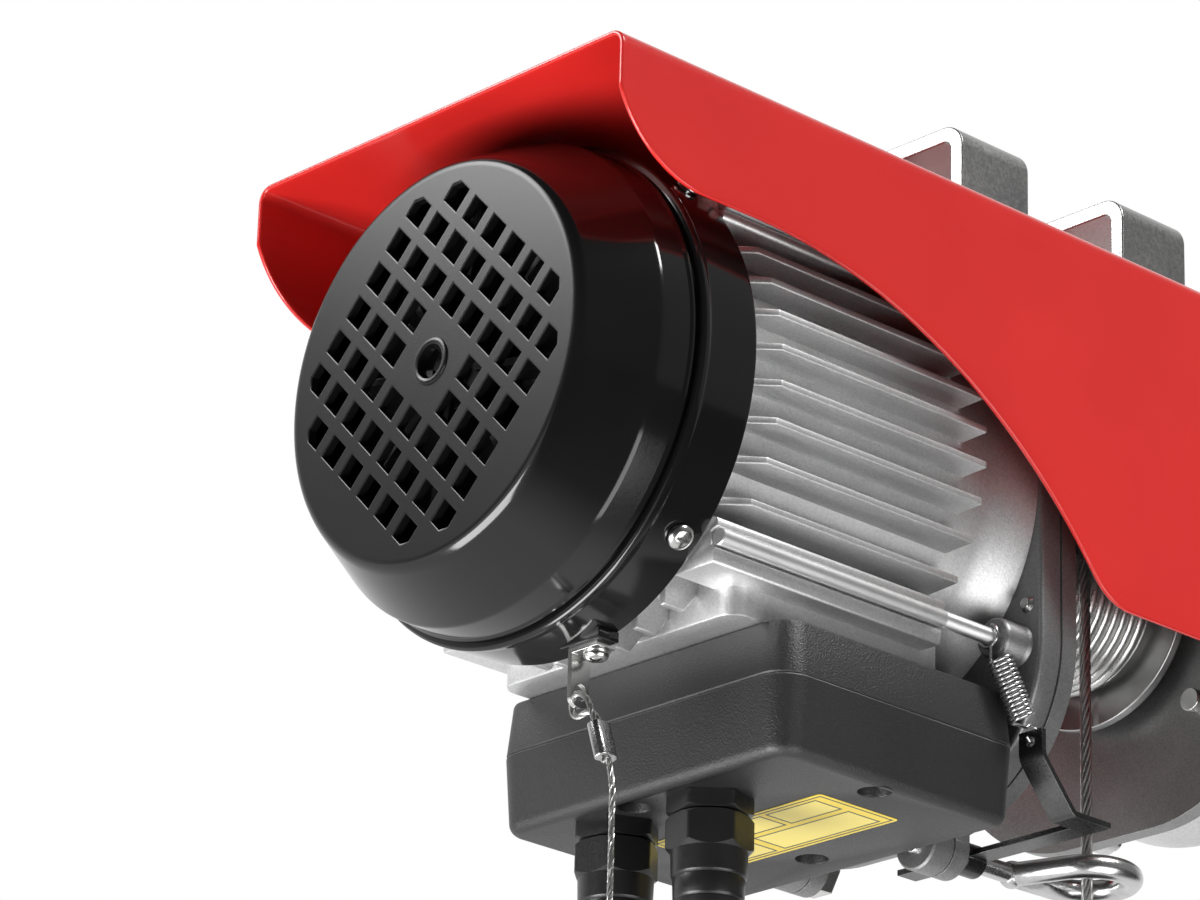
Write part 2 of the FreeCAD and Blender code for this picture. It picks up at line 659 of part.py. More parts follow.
room_r = gearbox_r - gearbox_wall
counter_bearing_r = 11.0
drum_side = rod(gearbox_x, gearbox_split, gearbox_r, 0, gearbox_cz)
case = joined([drum_side] + lugs(gearbox_split - 10, gearbox_split))
case = case.cut(rod(gearbox_x + 6, gearbox_split + 1, room_r, 0, gearbox_cz))
case = case.cut(rod(gearbox_x - 1, gearbox_x + 7, drum_bearing_r))
case = case.cut(rod(gearbox_x - 1, gearbox_x + 7, counter_bearing_r, 0, counter_z))
for hole in lug_holes(gearbox_split - 11, gearbox_split + 1, m4):
    case = case.cut(hole)
for y, z in case_screws:
    case = case.cut(rod(gearbox_x - 1, gearbox_x + 5.2, m4, y, z))
export("gearbox_case", case)
lid = turned([
    (gearbox_split, 0), (gearbox_split, gearbox_r), (gearbox_end - 8, gearbox_r),
    (gearbox_end - 2.5, gearbox_r - 3), (gearbox_end, gearbox_r - 9), (gearbox_end, 0),
])
lid.translate(V(0, 0, gearbox_cz))
lid = joined([lid] + lugs(gearbox_split, gearbox_split + 8))
pocket_x = end_bearing_x
lid = lid.cut(rod(gearbox_split - 1, gearbox_end - 5, room_r, 0, gearbox_cz))
pocket_r = counter_bearing_r + 3.5
pockets = [rod(pocket_x, gearbox_end - 4, pocket_r)]
pockets.append(rod(pocket_x + 0.5, gearbox_end - 4, pocket_r, 0, counter_z))
lid = joined([lid] + pockets)
lid = lid.cut(rod(pocket_x - 1, pocket_x + 7, counter_bearing_r))
lid = lid.cut(rod(pocket_x - 1, gearbox_end - 2, journal_r + 2))
lid = lid.cut(rod(pocket_x - 1, pocket_x + 7, counter_bearing_r, 0, counter_z))
lid = lid.cut(rod(pocket_x - 1, gearbox_end - 2, tail_r + 2, 0, counter_z))
for hole in lug_holes(gearbox_split - 1, gearbox_split + 9, m4):
    lid = lid.cut(hole)
for hole in lug_holes(gearbox_split + 8, gearbox_end, 3.9):
    lid = lid.cut(hole)
export("gearbox_cover", lid)
end_bearing = bearing(pocket_x, 7.0, journal_r + run, counter_bearing_r)
export("shaft_bearings", Part.makeCompound([rear_bearing, front_bearing, end_bearing]))
near_bearing = bearing(gearbox_x, 6.0, tail_r + run, counter_bearing_r, 0, counter_z)
far_bearing = bearing(pocket_x + 0.5, 6.5, tail_r + run, counter_bearing_r, 0, counter_z)
export("counter_bearings", Part.makeCompound([near_bearing, far_bearing]))
lid_screws = []
for t in lugs(gearbox_split, gearbox_split + 8):
    c = t.BoundBox.Center
    head = rod(gearbox_split + 8, gearbox_split + 11.5, 3.5, c.y, c.z)
    head = head.cut(prism("x", hexagon(c.y, c.z, 3.0), gearbox_split + 9.8, gearbox_split + 12))
    lid_screws.append(head.fuse(rod(gearbox_split - 9, gearbox_split + 8.5, m4, c.y, c.z)).removeSplitter())
export("gearbox_screws", Part.makeCompound(lid_screws))


# Rain hood: bent sheet, its sides cut to a sweeping lower edge.
def hood_z(x):
    """Height of the hood's lower edge on its long arc."""
    return hood_edge_z - hood_arc_r + math.sqrt(hood_arc_r ** 2 - (x - hood_arc_x) ** 2)


out_r = 5.0
section = [(-hood_half, hood_low_z - 5), (-hood_half, hood_top, out_r), (hood_half, hood_top, out_r)]
section += [(hood_half, hood_low_z - 5), (hood_half - hood_t, hood_low_z - 5)]
section += [(hood_half - hood_t, hood_top - hood_t, out_r - hood_t)]
section += [(hood_t - hood_half, hood_top - hood_t, out_r - hood_t), (hood_t - hood_half, hood_low_z - 5)]
sheet = prism("x", section, hood_x, hood_end)
arc_end = bay_x - 3.0
low_x = bay_x + 13.0
arc_mid_x = (hood_arc_x + arc_end) / 2
front_z = hood_top - 18.0
front_x = hood_x + 30.5
wide = 2 * hood_half
mirror = 2 * drum_x
edges = [
    Part.makeLine(V(hood_x, -wide, hood_top + 9), V(hood_x, -wide, front_z)),
    Part.Arc(
        V(hood_x, -wide, front_z), V(hood_x + 9.8, -wide, hood_edge_z + 8.4),
        V(front_x, -wide, hood_edge_z),
    ).toShape(),
    Part.makeLine(V(front_x, -wide, hood_edge_z), V(hood_arc_x, -wide, hood_edge_z)),
    Part.Arc(
        V(hood_arc_x, -wide, hood_edge_z), V(arc_mid_x, -wide, hood_z(arc_mid_x)),
        V(arc_end, -wide, hood_z(arc_end)),
    ).toShape(),
    Part.Arc(
        V(arc_end, -wide, hood_z(arc_end)), V(arc_end + 7, -wide, hood_low_z + 1.9),
        V(low_x, -wide, hood_low_z),
    ).toShape(),
    Part.makeLine(V(low_x, -wide, hood_low_z), V(mirror - low_x, -wide, hood_low_z)),
    Part.Arc(
        V(mirror - low_x, -wide, hood_low_z), V(mirror - arc_end - 7, -wide, hood_low_z + 1.9),
        V(mirror - arc_end, -wide, hood_z(arc_end)),
    ).toShape(),
    Part.Arc(
        V(mirror - arc_end, -wide, hood_z(arc_end)), V(hood_end - 26, -wide, hood_z(mirror - hood_end + 26)),
        V(hood_end, -wide, hood_z(mirror - hood_end)),
    ).toShape(),
    Part.makeLine(V(hood_end, -wide, hood_z(mirror - hood_end)), V(hood_end, -wide, hood_top + 9)),
    Part.makeLine(V(hood_end, -wide, hood_top + 9), V(hood_x, -wide, hood_top + 9)),
]
side_face = Part.Face(Part.Wire(edges))
hood = sheet.common(side_face.extrude(V(0, 2 * wide, 0)))
for x in strap_x:
    for side in (1, -1):
        hood = hood.cut(post(x, side * bolt_y, hood_top - 5, hood_top + 5, m8 + 0.5))
export("rain_hood", hood)

# Hanger straps over the beam, bolted through the hood into the drum frame.
foot = bolt_y + 10.0
top_z = seat_z + strap_t
wall_y = beam / 2 + strap_t
strap_out = [(-foot, hood_top), (-foot, hood_top + strap_t), (-wall_y, hood_top + strap_t, 3.0)]
strap_out += [(-wall_y, top_z, 8.0), (wall_y, top_z, 8.0), (wall_y, hood_top + strap_t, 3.0)]
strap_out += [(foot, hood_top + strap_t), (foot, hood_top), (beam / 2, hood_top)]
strap_out += [(beam / 2, seat_z, 3.0), (-beam / 2, seat_z, 3.0), (-beam / 2, hood_top)]
names = ("hanger_strap_motor", "hanger_strap_gear")
for x, name in zip(strap_x, names):
    strap = prism("x", strap_out, x - strap_w / 2, x + strap_w / 2)
    for side in (1, -1):
        strap = strap.cut(post(x, side * bolt_y, hood_top - 1, hood_top + strap_t + 1, m8 + 0.3))
    export(name, strap)
bolts = []
for x in strap_x:
    for side in (1, -1):
        head_z = hood_top + strap_t
        head = prism("z", hexagon(x, side * bolt_y, 13.0), head_z, head_z + 5.3)
        bolts.append(head.fuse(post(x, side * bolt_y, pad_top - 15, head_z + 1, m8)).removeSplitter())
export("hanger_bolts", Part.makeCompound(bolts))


# Terminal box in two drafted halves, widest at the parting line.
def half_box(z_wide, z_narrow, inset):
    """Drafted solid between the parting plane and one face of the box."""
    loops = []
    for z, d in ((z_wide, 0.0), (z_narrow, box_draft)):
        e = d + inset
        x0 = box_x + e
        x1 = box_x + box_len - e
        y = box_half - e
        a = box_corner[0] - e
        b = box_corner[1] - e
        loops.append(wire("z", [(x0, -y, a), (x1, -y, b), (x1, y, b), (x0, y, a)], z))
    return Part.makeLoft(loops, True, True)


base = half_box(box_part, box_top, 0.0)
room = half_box(box_part - 0.001, box_top - box_wall, box_wall)
base = base.cut(room)
lid_box = half_box(box_part, box_foot, 0.0)
lid_edges = [e for e in lid_box.Edges if e.BoundBox.ZMax < box_foot + 0.01]
lid_box = lid_box.makeFillet(3.5, lid_edges)
lid_box = lid_box.cut(half_box(box_part + 0.001, box_foot + box_wall, box_wall))
head_z = box_foot + 7.0
for x, y in box_screws:
    base = base.fuse(post(x, y, box_part, box_top - 1, 4.6))
    base = base.cut(post(x, y, box_part - 1, box_part + 9, m4))
    lid_box = lid_box.fuse(post(x, y, box_foot + 1, box_part, 6.2))
    lid_box = lid_box.cut(post(x, y, box_foot - 1, head_z, 4.8))
    lid_box = lid_box.cut(post(x, y, box_foot, box_part + 1, m4 + 0.2))
for x, y, turn in glands:
    lid_box = lid_box.cut(post(x, y, box_foot - 1, box_foot + 5, gland_tube_r + 0.2))
base = base.cut(post(lead_bore_x, 0, box_top - 5, box_top + 1, 6.0))
for x, y in mount_screws:
    base = base.cut(post(x, y, box_top - 5, box_top + 1, m4 + 0.2))
export("box_base", base.removeSplitter())
export("box_cover", lid_box.removeSplitter())
fixings = [cap_screw(x, y, head_z, 3.6, 2.6, m4, 16.0) for x, y in box_screws]
fixings += [cap_screw(x, y, box_top - box_wall, 3.6, 2.4, m4, box_wall + 5.0) for x, y in mount_screws]
export("box_screws", Part.makeCompound(fixings))
label_x = (box_x + 35.7, box_x + 67.7)
label_y = (21.1 - box_half, box_half - 29.6)
label_points = [(x, y, 1) for x, y in zip(label_x + label_x[::-1], (label_y[0],) * 2 + (label_y[1],) * 2)]
label = prism("z", label_points, box_foot - 0.15, box_foot)
export("box_label", label)

# Cable glands: hexagon body, lock nut inside, rubber seal and dome nut with a ribbed tail.
bodies = []
lock_nuts = []
dome_nuts = []
seals = []
for x, y, turn in glands:
    body = prism("z", hexagon(x, y, gland_af, turn), box_foot - 5.3, box_foot)
    body = joined([body, post(x, y, box_foot - 13.3, box_foot + 8.5, gland_tube_r)])
    body = body.cut(post(x, y, box_foot - 16, box_foot + 9, 6.6))
    bodies.append(body)
    nut = prism("z", hexagon(x, y, gland_af - 2, 30), box_foot + box_wall, box_foot + box_wall + 4.5)
    lock_nuts.append(nut.cut(post(x, y, box_foot, box_foot + 9, gland_tube_r)))
    top = box_foot - 5.9
    dome = prism("z", hexagon(x, y, gland_af, turn), top - 10.0, top)
    shape = Part.Face(wire("y", [
        (0, top), (12.8, top), (12.8, top - 8.6), (11.2, top - 10.2), (10.9, top - 17.5),
        (10.4, top - 18.0), (10.2, top - 24.0), (9.7, top - 24.5), (9.4, top - 30.0, 1.5), (0, top - 30.0),
    ]))
    shape = shape.revolve(V(0, 0, 0), V(0, 0, 1), 360)
    shape.translate(V(x, y, 0))
    tail = post(x, y, top - 40, top - 9.5, 20)
    dome = shape.common(dome.fuse(tail))
    dome = dome.cut(post(x, y, top - 9.0, top + 1, gland_tube_r))
    dome = dome.cut(post(x, y, top - 41, top, cable_r + 0.8))
    dome = dome.cut(post(x, y, top - 15.0, top + 1, 7.4))
    dome_nuts.append(dome.removeSplitter())
    seal = post(x, y, top - 15.0, box_foot - 7.3, 6.4)
    seals.append(seal.cut(post(x, y, top - 41, box_foot, cable_r)))
export("gland_bodies", Part.makeCompound(bodies))
export("gland_lock_nuts", Part.makeCompound(lock_nuts))
export("gland_dome_nuts", Part.makeCompound(dome_nuts))
export("gland_seals", Part.makeCompound(seals))

# What the box holds.
can_r = 12.5
can_z = box_foot + box_wall + can_r
can_y = box_half - 29.2
can_x = box_x + 34.7
can = [rod(can_x, can_x + 46, can_r, can_y, can_z), rod(can_x - 3, can_x + 1, 7.0, can_y, can_z)]
can += [rod(can_x - 8, can_x, 1.5, can_y + side, can_z) for side in (-3.0, 3.0)]
export("capacitor", joined(can))
strip_x = box_x + 30.7
strip_y = 30.5 - box_half
strip = block(strip_x, strip_x + 44, strip_y - 8, strip_y + 8, box_top - 14, box_top - box_wall)
for n in range(6):
    strip = strip.cut(post(strip_x + 4.5 + 7 * n, strip_y, box_top - 15, box_top - 9, 2.4))
export("terminal_block", strip)

# Limit lever: a round shaft under the drum that ends in the rope's eye, with a sheet arm for the spring.
eye_x = drum_x
lever_end = bay_x + 27.0
far = math.hypot(eye_x - lever_end, fall_y - pivot_y)
toward = math.atan2(fall_y - pivot_y, eye_x - lever_end)
spread = math.acos(eye_r / far)
p1 = V(eye_x - eye_r * math.cos(toward + spread), fall_y - eye_r * math.sin(toward + spread), pivot_z)
p2 = V(eye_x - eye_r * math.cos(toward - spread), fall_y - eye_r * math.sin(toward - spread), pivot_z)
tip = V(eye_x + eye_r * math.cos(toward), fall_y + eye_r * math.sin(toward), pivot_z)
start = V(lever_end, pivot_y, pivot_z)
eye_wire = Part.Wire([Part.makeLine(start, p1), Part.Arc(p1, tip, p2).toShape()])
direction = p1 - start
circle = Part.Wire(Part.makeCircle(eye_bar_r, start, direction))
eye = eye_wire.makePipeShell([circle], True, False)
direction = start - p2
closing = Part.makeCylinder(eye_bar_r, direction.Length, p2, direction)
knuckle = Part.makeSphere(eye_bar_r + 0.6, start)
lever_bar = rod(flange_x - 1.0, lever_end, pivot_r, pivot_y, pivot_z)
export("limit_shaft", lever_bar)
eye = joined([eye, closing, knuckle]).cut(rod(flange_x, lever_end, pivot_r, pivot_y, pivot_z))
export("rope_eye", eye)

arm_z = pivot_z + arm_t / 2
low_z = pivot_z - arm_t / 2
tab_top = pivot_z + 22.5
tab_face = flange_x - 3.4
strip_points = [
    (arm_x + arm_w, low_z), (frame_x + 1.0, low_z, 3.0), (tab_face, pivot_z + 14.3, 6.0), (tab_face, tab_top),
    (tab_face + arm_t, tab_top), (tab_face + arm_t, pivot_z + 15.1, 4.2), (frame_x + 1.9, arm_z, 1.2),
    (arm_x + arm_w, arm_z),
]
sheet_arm = prism("y", strip_points, arm_far_y - 4.5, arm_far_y + 4.5)
lever_plate = block(arm_x, arm_x + arm_w, arm_far_y - 4.5, pivot_y + 24.0, low_z, arm_z)
arm = joined([sheet_arm, lever_plate, rod(arm_x, arm_x + arm_w, pivot_r + 2.0, pivot_y, pivot_z)])
arm = arm.cut(rod(arm_x - 1, arm_x + arm_w + 1, pivot_r, pivot_y, pivot_z))
spring_foot_z = tab_top - 3.4
arm = arm.cut(rod(tab_face - 1, tab_face + arm_t + 1, 1.5, arm_far_y, spring_foot_z))
export("limit_arm", arm)

# Extension spring from a tie rod to the arm: closed coil body with a hook at each end.
coil_r = 4.0
coil_wire = 0.6
rod_hook = V(flange_x - 11.6, -rod_y, -rod_z)
tab_hook = V(tab_face + arm_t / 2, arm_far_y, spring_foot_z)
coil_top = V(flange_x - 12.1, -box_half - 1.9, -rod_z - 8.0)
line = tab_hook - coil_top
line.normalize()
coil_foot = tab_hook - line * 7.0


def coil_leg(a, b):
    """Straight piece of the spring's wire with round ends."""
    bar = Part.makeCylinder(coil_wire, (b - a).Length, a, b - a)
    return joined([bar, Part.makeSphere(coil_wire, a), Part.makeSphere(coil_wire, b)])


coil = Part.makeCylinder(coil_r, (coil_foot - coil_top).Length, coil_top, line)
coil = coil.cut(Part.makeCylinder(coil_r - 2 * coil_wire, 60, coil_top - line * 20, line))
hook_r = rod_r + coil_wire + 0.4
across = V(0, 1, 0)
rod_ring = Part.makeTorus(hook_r, coil_wire, rod_hook, V(1, 0, 0))
rim_top = coil_top + across * (coil_r - coil_wire)
rod_leg = coil_leg(rod_hook + V(0, 0, -hook_r), rim_top)
tab_ring_r = 2.6
tab_ring_at = tab_hook + V(0, 0, tab_ring_r - 0.1)
tab_ring = Part.makeTorus(tab_ring_r, coil_wire, tab_ring_at, across)
tab_leg = coil_leg(tab_ring_at - line * tab_ring_r, coil_foot + across * (coil_r - coil_wire))
export("limit_spring", joined([coil, rod_ring, rod_leg, tab_ring, tab_leg]))

# Limit switch on the drum frame, its plunger over the arm.
plunger_y = pivot_y + 15.0
plunger_r = 1.5
switch_z = pivot_z + 7.5
switch = block(bay_x, bay_x + 12.0, plunger_y - 10, plunger_y + 14, switch_z, switch_z + 16)
switch = switch.cut(post(arm_x + arm_w / 2, plunger_y, switch_z - 1, switch_z + 6, plunger_r + run))
export("limit_switch", switch)
plunger = post(arm_x + arm_w / 2, plunger_y, arm_z + 0.5, switch_z + 3.0, plunger_r)
export("switch_plunger", plunger)

# Rope fall, stop, hook head, hook and latch, hanging at the top of the lift.
stop_h = 18.0
head_top = stop_top - stop_h
head_h = 22.0
head_foot = head_top - head_h
fall = post(drum_x, fall_y, stop_top - 10.0, 0, rope_r)
export("rope_fall", fall)
stop_shape = Part.Face(wire("y", [
    (0, stop_top), (8, stop_top, 2.0), (14.5, stop_top - 7, 2.0), (14.5, head_top, 1.0), (0, head_top),
])).revolve(V(0, 0, 0), V(0, 0, 1), 360)
stop_shape.translate(V(drum_x, fall_y, 0))
export("rope_stop", stop_shape.cut(post(drum_x, fall_y, stop_top - 10.0, 0, rope_r)))
head_shape = Part.Face(wire("y", [
    (0, head_top), (11, head_top, 1.5), (12, head_foot + 4, 1.5), (9.5, head_foot, 1.0), (0, head_foot),
])).revolve(V(0, 0, 0), V(0, 0, 1), 360)
head_shape.translate(V(drum_x, fall_y, 0))
nut_r = 8.0
nut_h = 8.0
cavity_top = head_top - 4.0
cavity_foot = head_foot + 6.0
head_shape = head_shape.cut(post(drum_x, fall_y, cavity_foot, cavity_top, nut_r + gap))
head_shape = head_shape.cut(post(drum_x, fall_y, head_foot - 1, cavity_foot + 1, swivel_r + run))
export("hook_head", head_shape)
shank_top = cavity_top - gap
nut_z = cavity_foot + gap
nut = prism("z", hexagon(drum_x, fall_y, 13.0), nut_z, nut_z + nut_h)
export("hook_nut", nut.cut(post(drum_x, fall_y, nut_z - 1, shank_top, swivel_r)))
bend_h = 38.0
bend_r = (bend_h ** 2 + bowl_r ** 2) / (4 * bowl_r)
bend = 2 * math.atan2(bowl_r, bend_h)


def hook_point(dx, dz):
    """Point in the hook's own plane, measured from the middle of its bowl."""
    return V(drum_x + dx, fall_y, hook_z + dz)


mid = hook_point(-bowl_r / 2, bend_h / 2)
first = hook_point(-bend_r + bend_r * math.cos(bend / 2), bend_h - bend_r * math.sin(bend / 2))
second = hook_point(-bowl_r + bend_r - bend_r * math.cos(bend / 2), bend_r * math.sin(bend / 2))
lip = math.radians(12)
lip_end = hook_point(bowl_r * math.cos(lip), bowl_r * math.sin(lip))
lip_dir = V(-math.sin(lip), 0, math.cos(lip))
path = Part.Wire([
    Part.makeLine(hook_point(0, bend_h + 2), hook_point(0, bend_h)),
    Part.Arc(hook_point(0, bend_h), first, mid).toShape(),
    Part.Arc(mid, second, hook_point(-bowl_r, 0)).toShape(),
    Part.Arc(hook_point(-bowl_r, 0), hook_point(0, -bowl_r), lip_end).toShape(),
])
hook_ring = Part.Wire(Part.makeCircle(hook_bar_r, hook_point(0, bend_h + 2), V(0, 0, -1)))
bowl = path.makePipeShell([hook_ring], True, False)
point_r = 3.6
point = Part.makeCone(hook_bar_r, point_r, 9.0, lip_end, lip_dir)
point_end = lip_end + lip_dir * 9.0
collar_z = head_foot - gap
neck = post(drum_x, fall_y, hook_z + bend_h + 1, collar_z, 7.5)
shank = post(drum_x, fall_y, collar_z - 1, shank_top, swivel_r)
lug_x = 10.0
lug_z = 34.0
lug_points = [(0, 28.0), (lug_x, lug_z - 4.5, 3.0), (lug_x + 4.5, lug_z, 3.0)]
lug_points += [(lug_x, lug_z + 4.5, 3.0), (0, 42.0)]
lug_half = 2.0
lug = prism("y", lug_points, -lug_half, lug_half)
lug.translate(V(drum_x, fall_y, hook_z))
hook = joined([bowl, point, Part.makeSphere(point_r, point_end), neck, shank, lug])
pin_r = 1.5
pin_at = hook_point(lug_x - 0.5, lug_z)
hook = hook.cut(Part.makeCylinder(pin_r, 20, pin_at - V(0, 10, 0), V(0, 1, 0)))
export("hook", hook)
export("latch_pin", Part.makeCylinder(pin_r, 9.6, pin_at - V(0, 4.8, 0), V(0, 1, 0)))
latch_end = V(lip_end.x - hook_bar_r - 1.2, 0, point_end.z - 5.0)
latch_dir = V(latch_end.x - pin_at.x, 0, latch_end.z - pin_at.z)
latch_len = latch_dir.Length
latch_turn = math.degrees(math.atan2(latch_dir.z, latch_dir.x))
cheeks = []
for side in (1, -1):
    low = min(side * (lug_half + gap), side * (lug_half + gap + 1.5))
    cheeks.append(Part.makeCylinder(4.0, 1.5, V(0, low, 0), V(0, 1, 0)))
    cheeks.append(prism("y", [(0, -3.5), (13.0, -2.2), (13.0, 2.2), (0, 3.5)], low, low + 1.5))
tongue = prism("z", [(10.5, -3.4), (latch_len, -3.0, 1.2), (latch_len, 3.0, 1.2), (10.5, 3.4)], -0.75, 0.75)
latch = joined(cheeks + [tongue])
latch = latch.cut(Part.makeCylinder(pin_r + run, 20, V(0, -10, 0), V(0, 1, 0)))
latch.rotate(V(0, 0, 0), V(0, 1, 0), -latch_turn)
latch.translate(pin_at)
export("hook_latch", latch)

# Wire tab under the cover, its screw, and the twisted steel wire that hangs from it.
tab_z = boss_z
tab_half = 3.5
tab_foot = tab_hole_z - 4.5
hang = prism("y", [
    (tab_x - tab_half, tab_z), (tab_x + tab_half, tab_z),
    (tab_x + tab_half, tab_foot, 3.0), (tab_x - tab_half, tab_foot, 3.0),
], tab_y - tab_t / 2, tab_y + tab_t / 2)
seat = block(tab_x - tab_half, tab_x + tab_half, tab_y - 11.0, tab_y + tab_t / 2, tab_z - tab_t, tab_z)
tab = joined([hang, seat]).cut(post(tab_screw_x, tab_screw_y, tab_z - 3, tab_z + 1, m4 + 0.1))
tab = tab.cut(Part.makeCylinder(2.5, 8, V(tab_x, tab_y - 4, tab_hole_z), V(0, 1, 0)))
export("wire_tab", tab)


def cord(points, r):
    """Tube along straight runs joined by tangent arcs; returns the tube and its length."""
    edges = []
    last = points[0]
    for k in range(1, len(points) - 1):
        here = points[k]
        a = points[k - 1] - here
        b = points[k + 1] - here
        short = min(a.Length, b.Length)
        a.normalize()
        b.normalize()
        half = math.acos(max(-1.0, min(1.0, a.dot(b)))) / 2
        turn_r = 0.45 * short * math.tan(half)
        reach = 0.45 * short
        bisect = a + b
        bisect.normalize()
        arc_mid = here + bisect * (turn_r / math.sin(half) - turn_r)
        edges.append(Part.makeLine(last, here + a * reach))
        edges.append(Part.Arc(here + a * reach, arc_mid, here + b * reach).toShape())
        last = here + b * reach
        print("wire bend radius %.2f" % turn_r)
    edges.append(Part.makeLine(last, points[-1]))
    path = Part.Wire(edges)
    start = Part.Wire(Part.makeCircle(r, points[0], points[1] - points[0]))
    return path.makePipeShell([start], True, False), path.Length


leg_a = V(tab_x, tab_y - 6.5, tab_hole_z - 4.5)
leg_b = V(tab_x, tab_y - 13.5, tab_hole_z - 26.0)
leg = leg_b - leg_a
apart = V(1.0, 0, 0)
drop = V(tab_x, tab_y - 14.0, tab_hole_z - 35.0)
foot_b = V(tab_x, drop.y, tab_hole_z - 90.0)
route = [
    leg_a + leg * 0.86 - apart,
    leg_a - apart,
    V(tab_x - 0.3, tab_y - 1.4, tab_hole_z),
    V(tab_x + 0.3, tab_y + 3.2, tab_hole_z),
    V(tab_x + 0.8, tab_y + 2.6, tab_hole_z - 7.6),
    leg_a + apart,
    leg_b + apart,
    drop + apart,
    foot_b + apart,
    foot_b + V(7.0, 0, -10.0),
    foot_b + V(0, 0, -21.0),
    foot_b + V(-7.0, 0, -10.0),
    foot_b - apart,
    foot_b - apart + V(0, 0, 17.0),
]
tube, length = cord(route, wire_r)
print("wire length %.1f, volume ratio %.3f" % (length, tube.Volume / (length * math.pi * wire_r ** 2)))
export("strain_wire", tube)


def ferrule(a, b):
    """Flattened sleeve round two wires, from a to b."""
    axis = b - a
    oval = [(-3.4, -2.2, 1.8), (3.4, -2.2, 1.8), (3.4, 2.2, 1.8), (-3.4, 2.2, 1.8)]
    q = wire_r + 0.02
    hole = joined([block(-1, 1, -q, q, -1, 60), post(-1, 0, -1, 60, q), post(1, 0, -1, 60, q)])
    sleeve = prism("z", oval, 0, axis.Length).cut(hole)
    tilt = math.degrees(math.atan2(axis.y, -axis.z))
    sleeve.rotate(V(0, 0, 0), V(1, 0, 0), 180 + tilt)
    sleeve.translate(a)
    return sleeve


sleeves = [ferrule(leg_a + leg * 0.3, leg_a + leg * 0.8)]
sleeves.append(ferrule(foot_b + V(0, 0, 15.0), foot_b + V(0, 0, 6.0)))
export("wire_ferrules", Part.makeCompound(sleeves))
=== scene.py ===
from math import copysign, cos, pi, radians, sin, sqrt, tan

import bmesh
import bpy
from mathutils import Matrix, Vector


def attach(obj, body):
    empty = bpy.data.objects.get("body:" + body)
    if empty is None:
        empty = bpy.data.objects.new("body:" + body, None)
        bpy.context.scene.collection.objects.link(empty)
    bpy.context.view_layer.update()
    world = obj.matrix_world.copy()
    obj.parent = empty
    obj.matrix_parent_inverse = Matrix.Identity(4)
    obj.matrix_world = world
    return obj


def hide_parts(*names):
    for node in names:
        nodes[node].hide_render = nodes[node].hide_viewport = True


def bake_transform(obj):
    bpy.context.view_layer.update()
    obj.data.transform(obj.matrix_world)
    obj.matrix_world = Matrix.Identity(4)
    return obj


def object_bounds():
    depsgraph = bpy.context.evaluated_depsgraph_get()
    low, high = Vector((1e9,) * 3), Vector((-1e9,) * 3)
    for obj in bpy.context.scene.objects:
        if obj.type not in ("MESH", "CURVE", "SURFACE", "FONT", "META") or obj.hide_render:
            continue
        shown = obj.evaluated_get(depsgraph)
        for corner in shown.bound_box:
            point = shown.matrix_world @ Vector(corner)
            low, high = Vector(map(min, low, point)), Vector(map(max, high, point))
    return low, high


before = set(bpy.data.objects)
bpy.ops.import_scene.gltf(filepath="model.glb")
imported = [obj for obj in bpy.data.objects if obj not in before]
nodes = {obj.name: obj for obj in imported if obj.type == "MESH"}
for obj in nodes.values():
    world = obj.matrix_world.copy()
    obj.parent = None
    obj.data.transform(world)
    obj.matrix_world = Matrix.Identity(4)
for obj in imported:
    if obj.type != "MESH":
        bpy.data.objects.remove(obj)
cadLow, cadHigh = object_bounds()
scene = bpy.context.scene
print("frame:", len(nodes), "nodes")

# Pieces are modelled in millimetres from the middle of the fan cover's face, then moved to the beam seat.
mm = 0.001
seat = dict(x=238, z=124.5)
place = Matrix.Scale(mm, 4) @ Matrix.Translation((-seat["x"], 0, -seat["z"]))
origin = (0, 0, 0)
white = (1, 1, 1, 1)


def spot(x, y, z):
    return place @ Vector((x, y, z))


def turned(angle, axis):
    return Matrix.Rotation(radians(angle), 4, axis)


def addObject(name, data):
    thing = bpy.data.objects.new(name, data)
    scene.collection.objects.link(thing)
    return thing


def meshFrom(bm, name):
    mesh = bpy.data.meshes.new(name)
    bm.to_mesh(mesh)
    bm.free()
    return mesh


# Node tools

def newMaterial(name):
    material = bpy.data.materials.new(name)
    material.use_nodes = True
    tree = material.node_tree
    return material, tree, tree.nodes["Principled BSDF"]


def feed(tree, node, inputs):
    # a socket takes a fixed value, or a link from another node
    for socket, value in inputs.items():
        if isinstance(value, bpy.types.NodeSocket):
            tree.links.new(value, node.inputs[socket])
        else:
            node.inputs[socket].default_value = value


def addNode(tree, kind, inputs, **settings):
    # settings go first, because they decide which sockets a node has
    node = tree.nodes.new("ShaderNode" + kind)
    for name, value in settings.items():
        setattr(node, name, value)
    feed(tree, node, inputs)
    return node


def calculate(tree, operation, *values):
    return addNode(tree, "Math", dict(enumerate(values)), operation=operation).outputs[0]


def objectSpot(tree):
    return addNode(tree, "TexCoord", {}).outputs["Object"]


def axisOf(tree, vector, axis):
    return addNode(tree, "SeparateXYZ", {"Vector": vector}).outputs[axis]


def smoothRise(tree, value, start, end, low, high):
    ramp = {"Value": value, "From Min": start, "From Max": end, "To Min": low, "To Max": high}
    return addNode(tree, "MapRange", ramp, interpolation_type="SMOOTHSTEP").outputs["Result"]


def mixShaders(tree, factor, first, second):
    return addNode(tree, "MixShader", {0: factor, 1: first.outputs[0], 2: second.outputs[0]})


# Studio

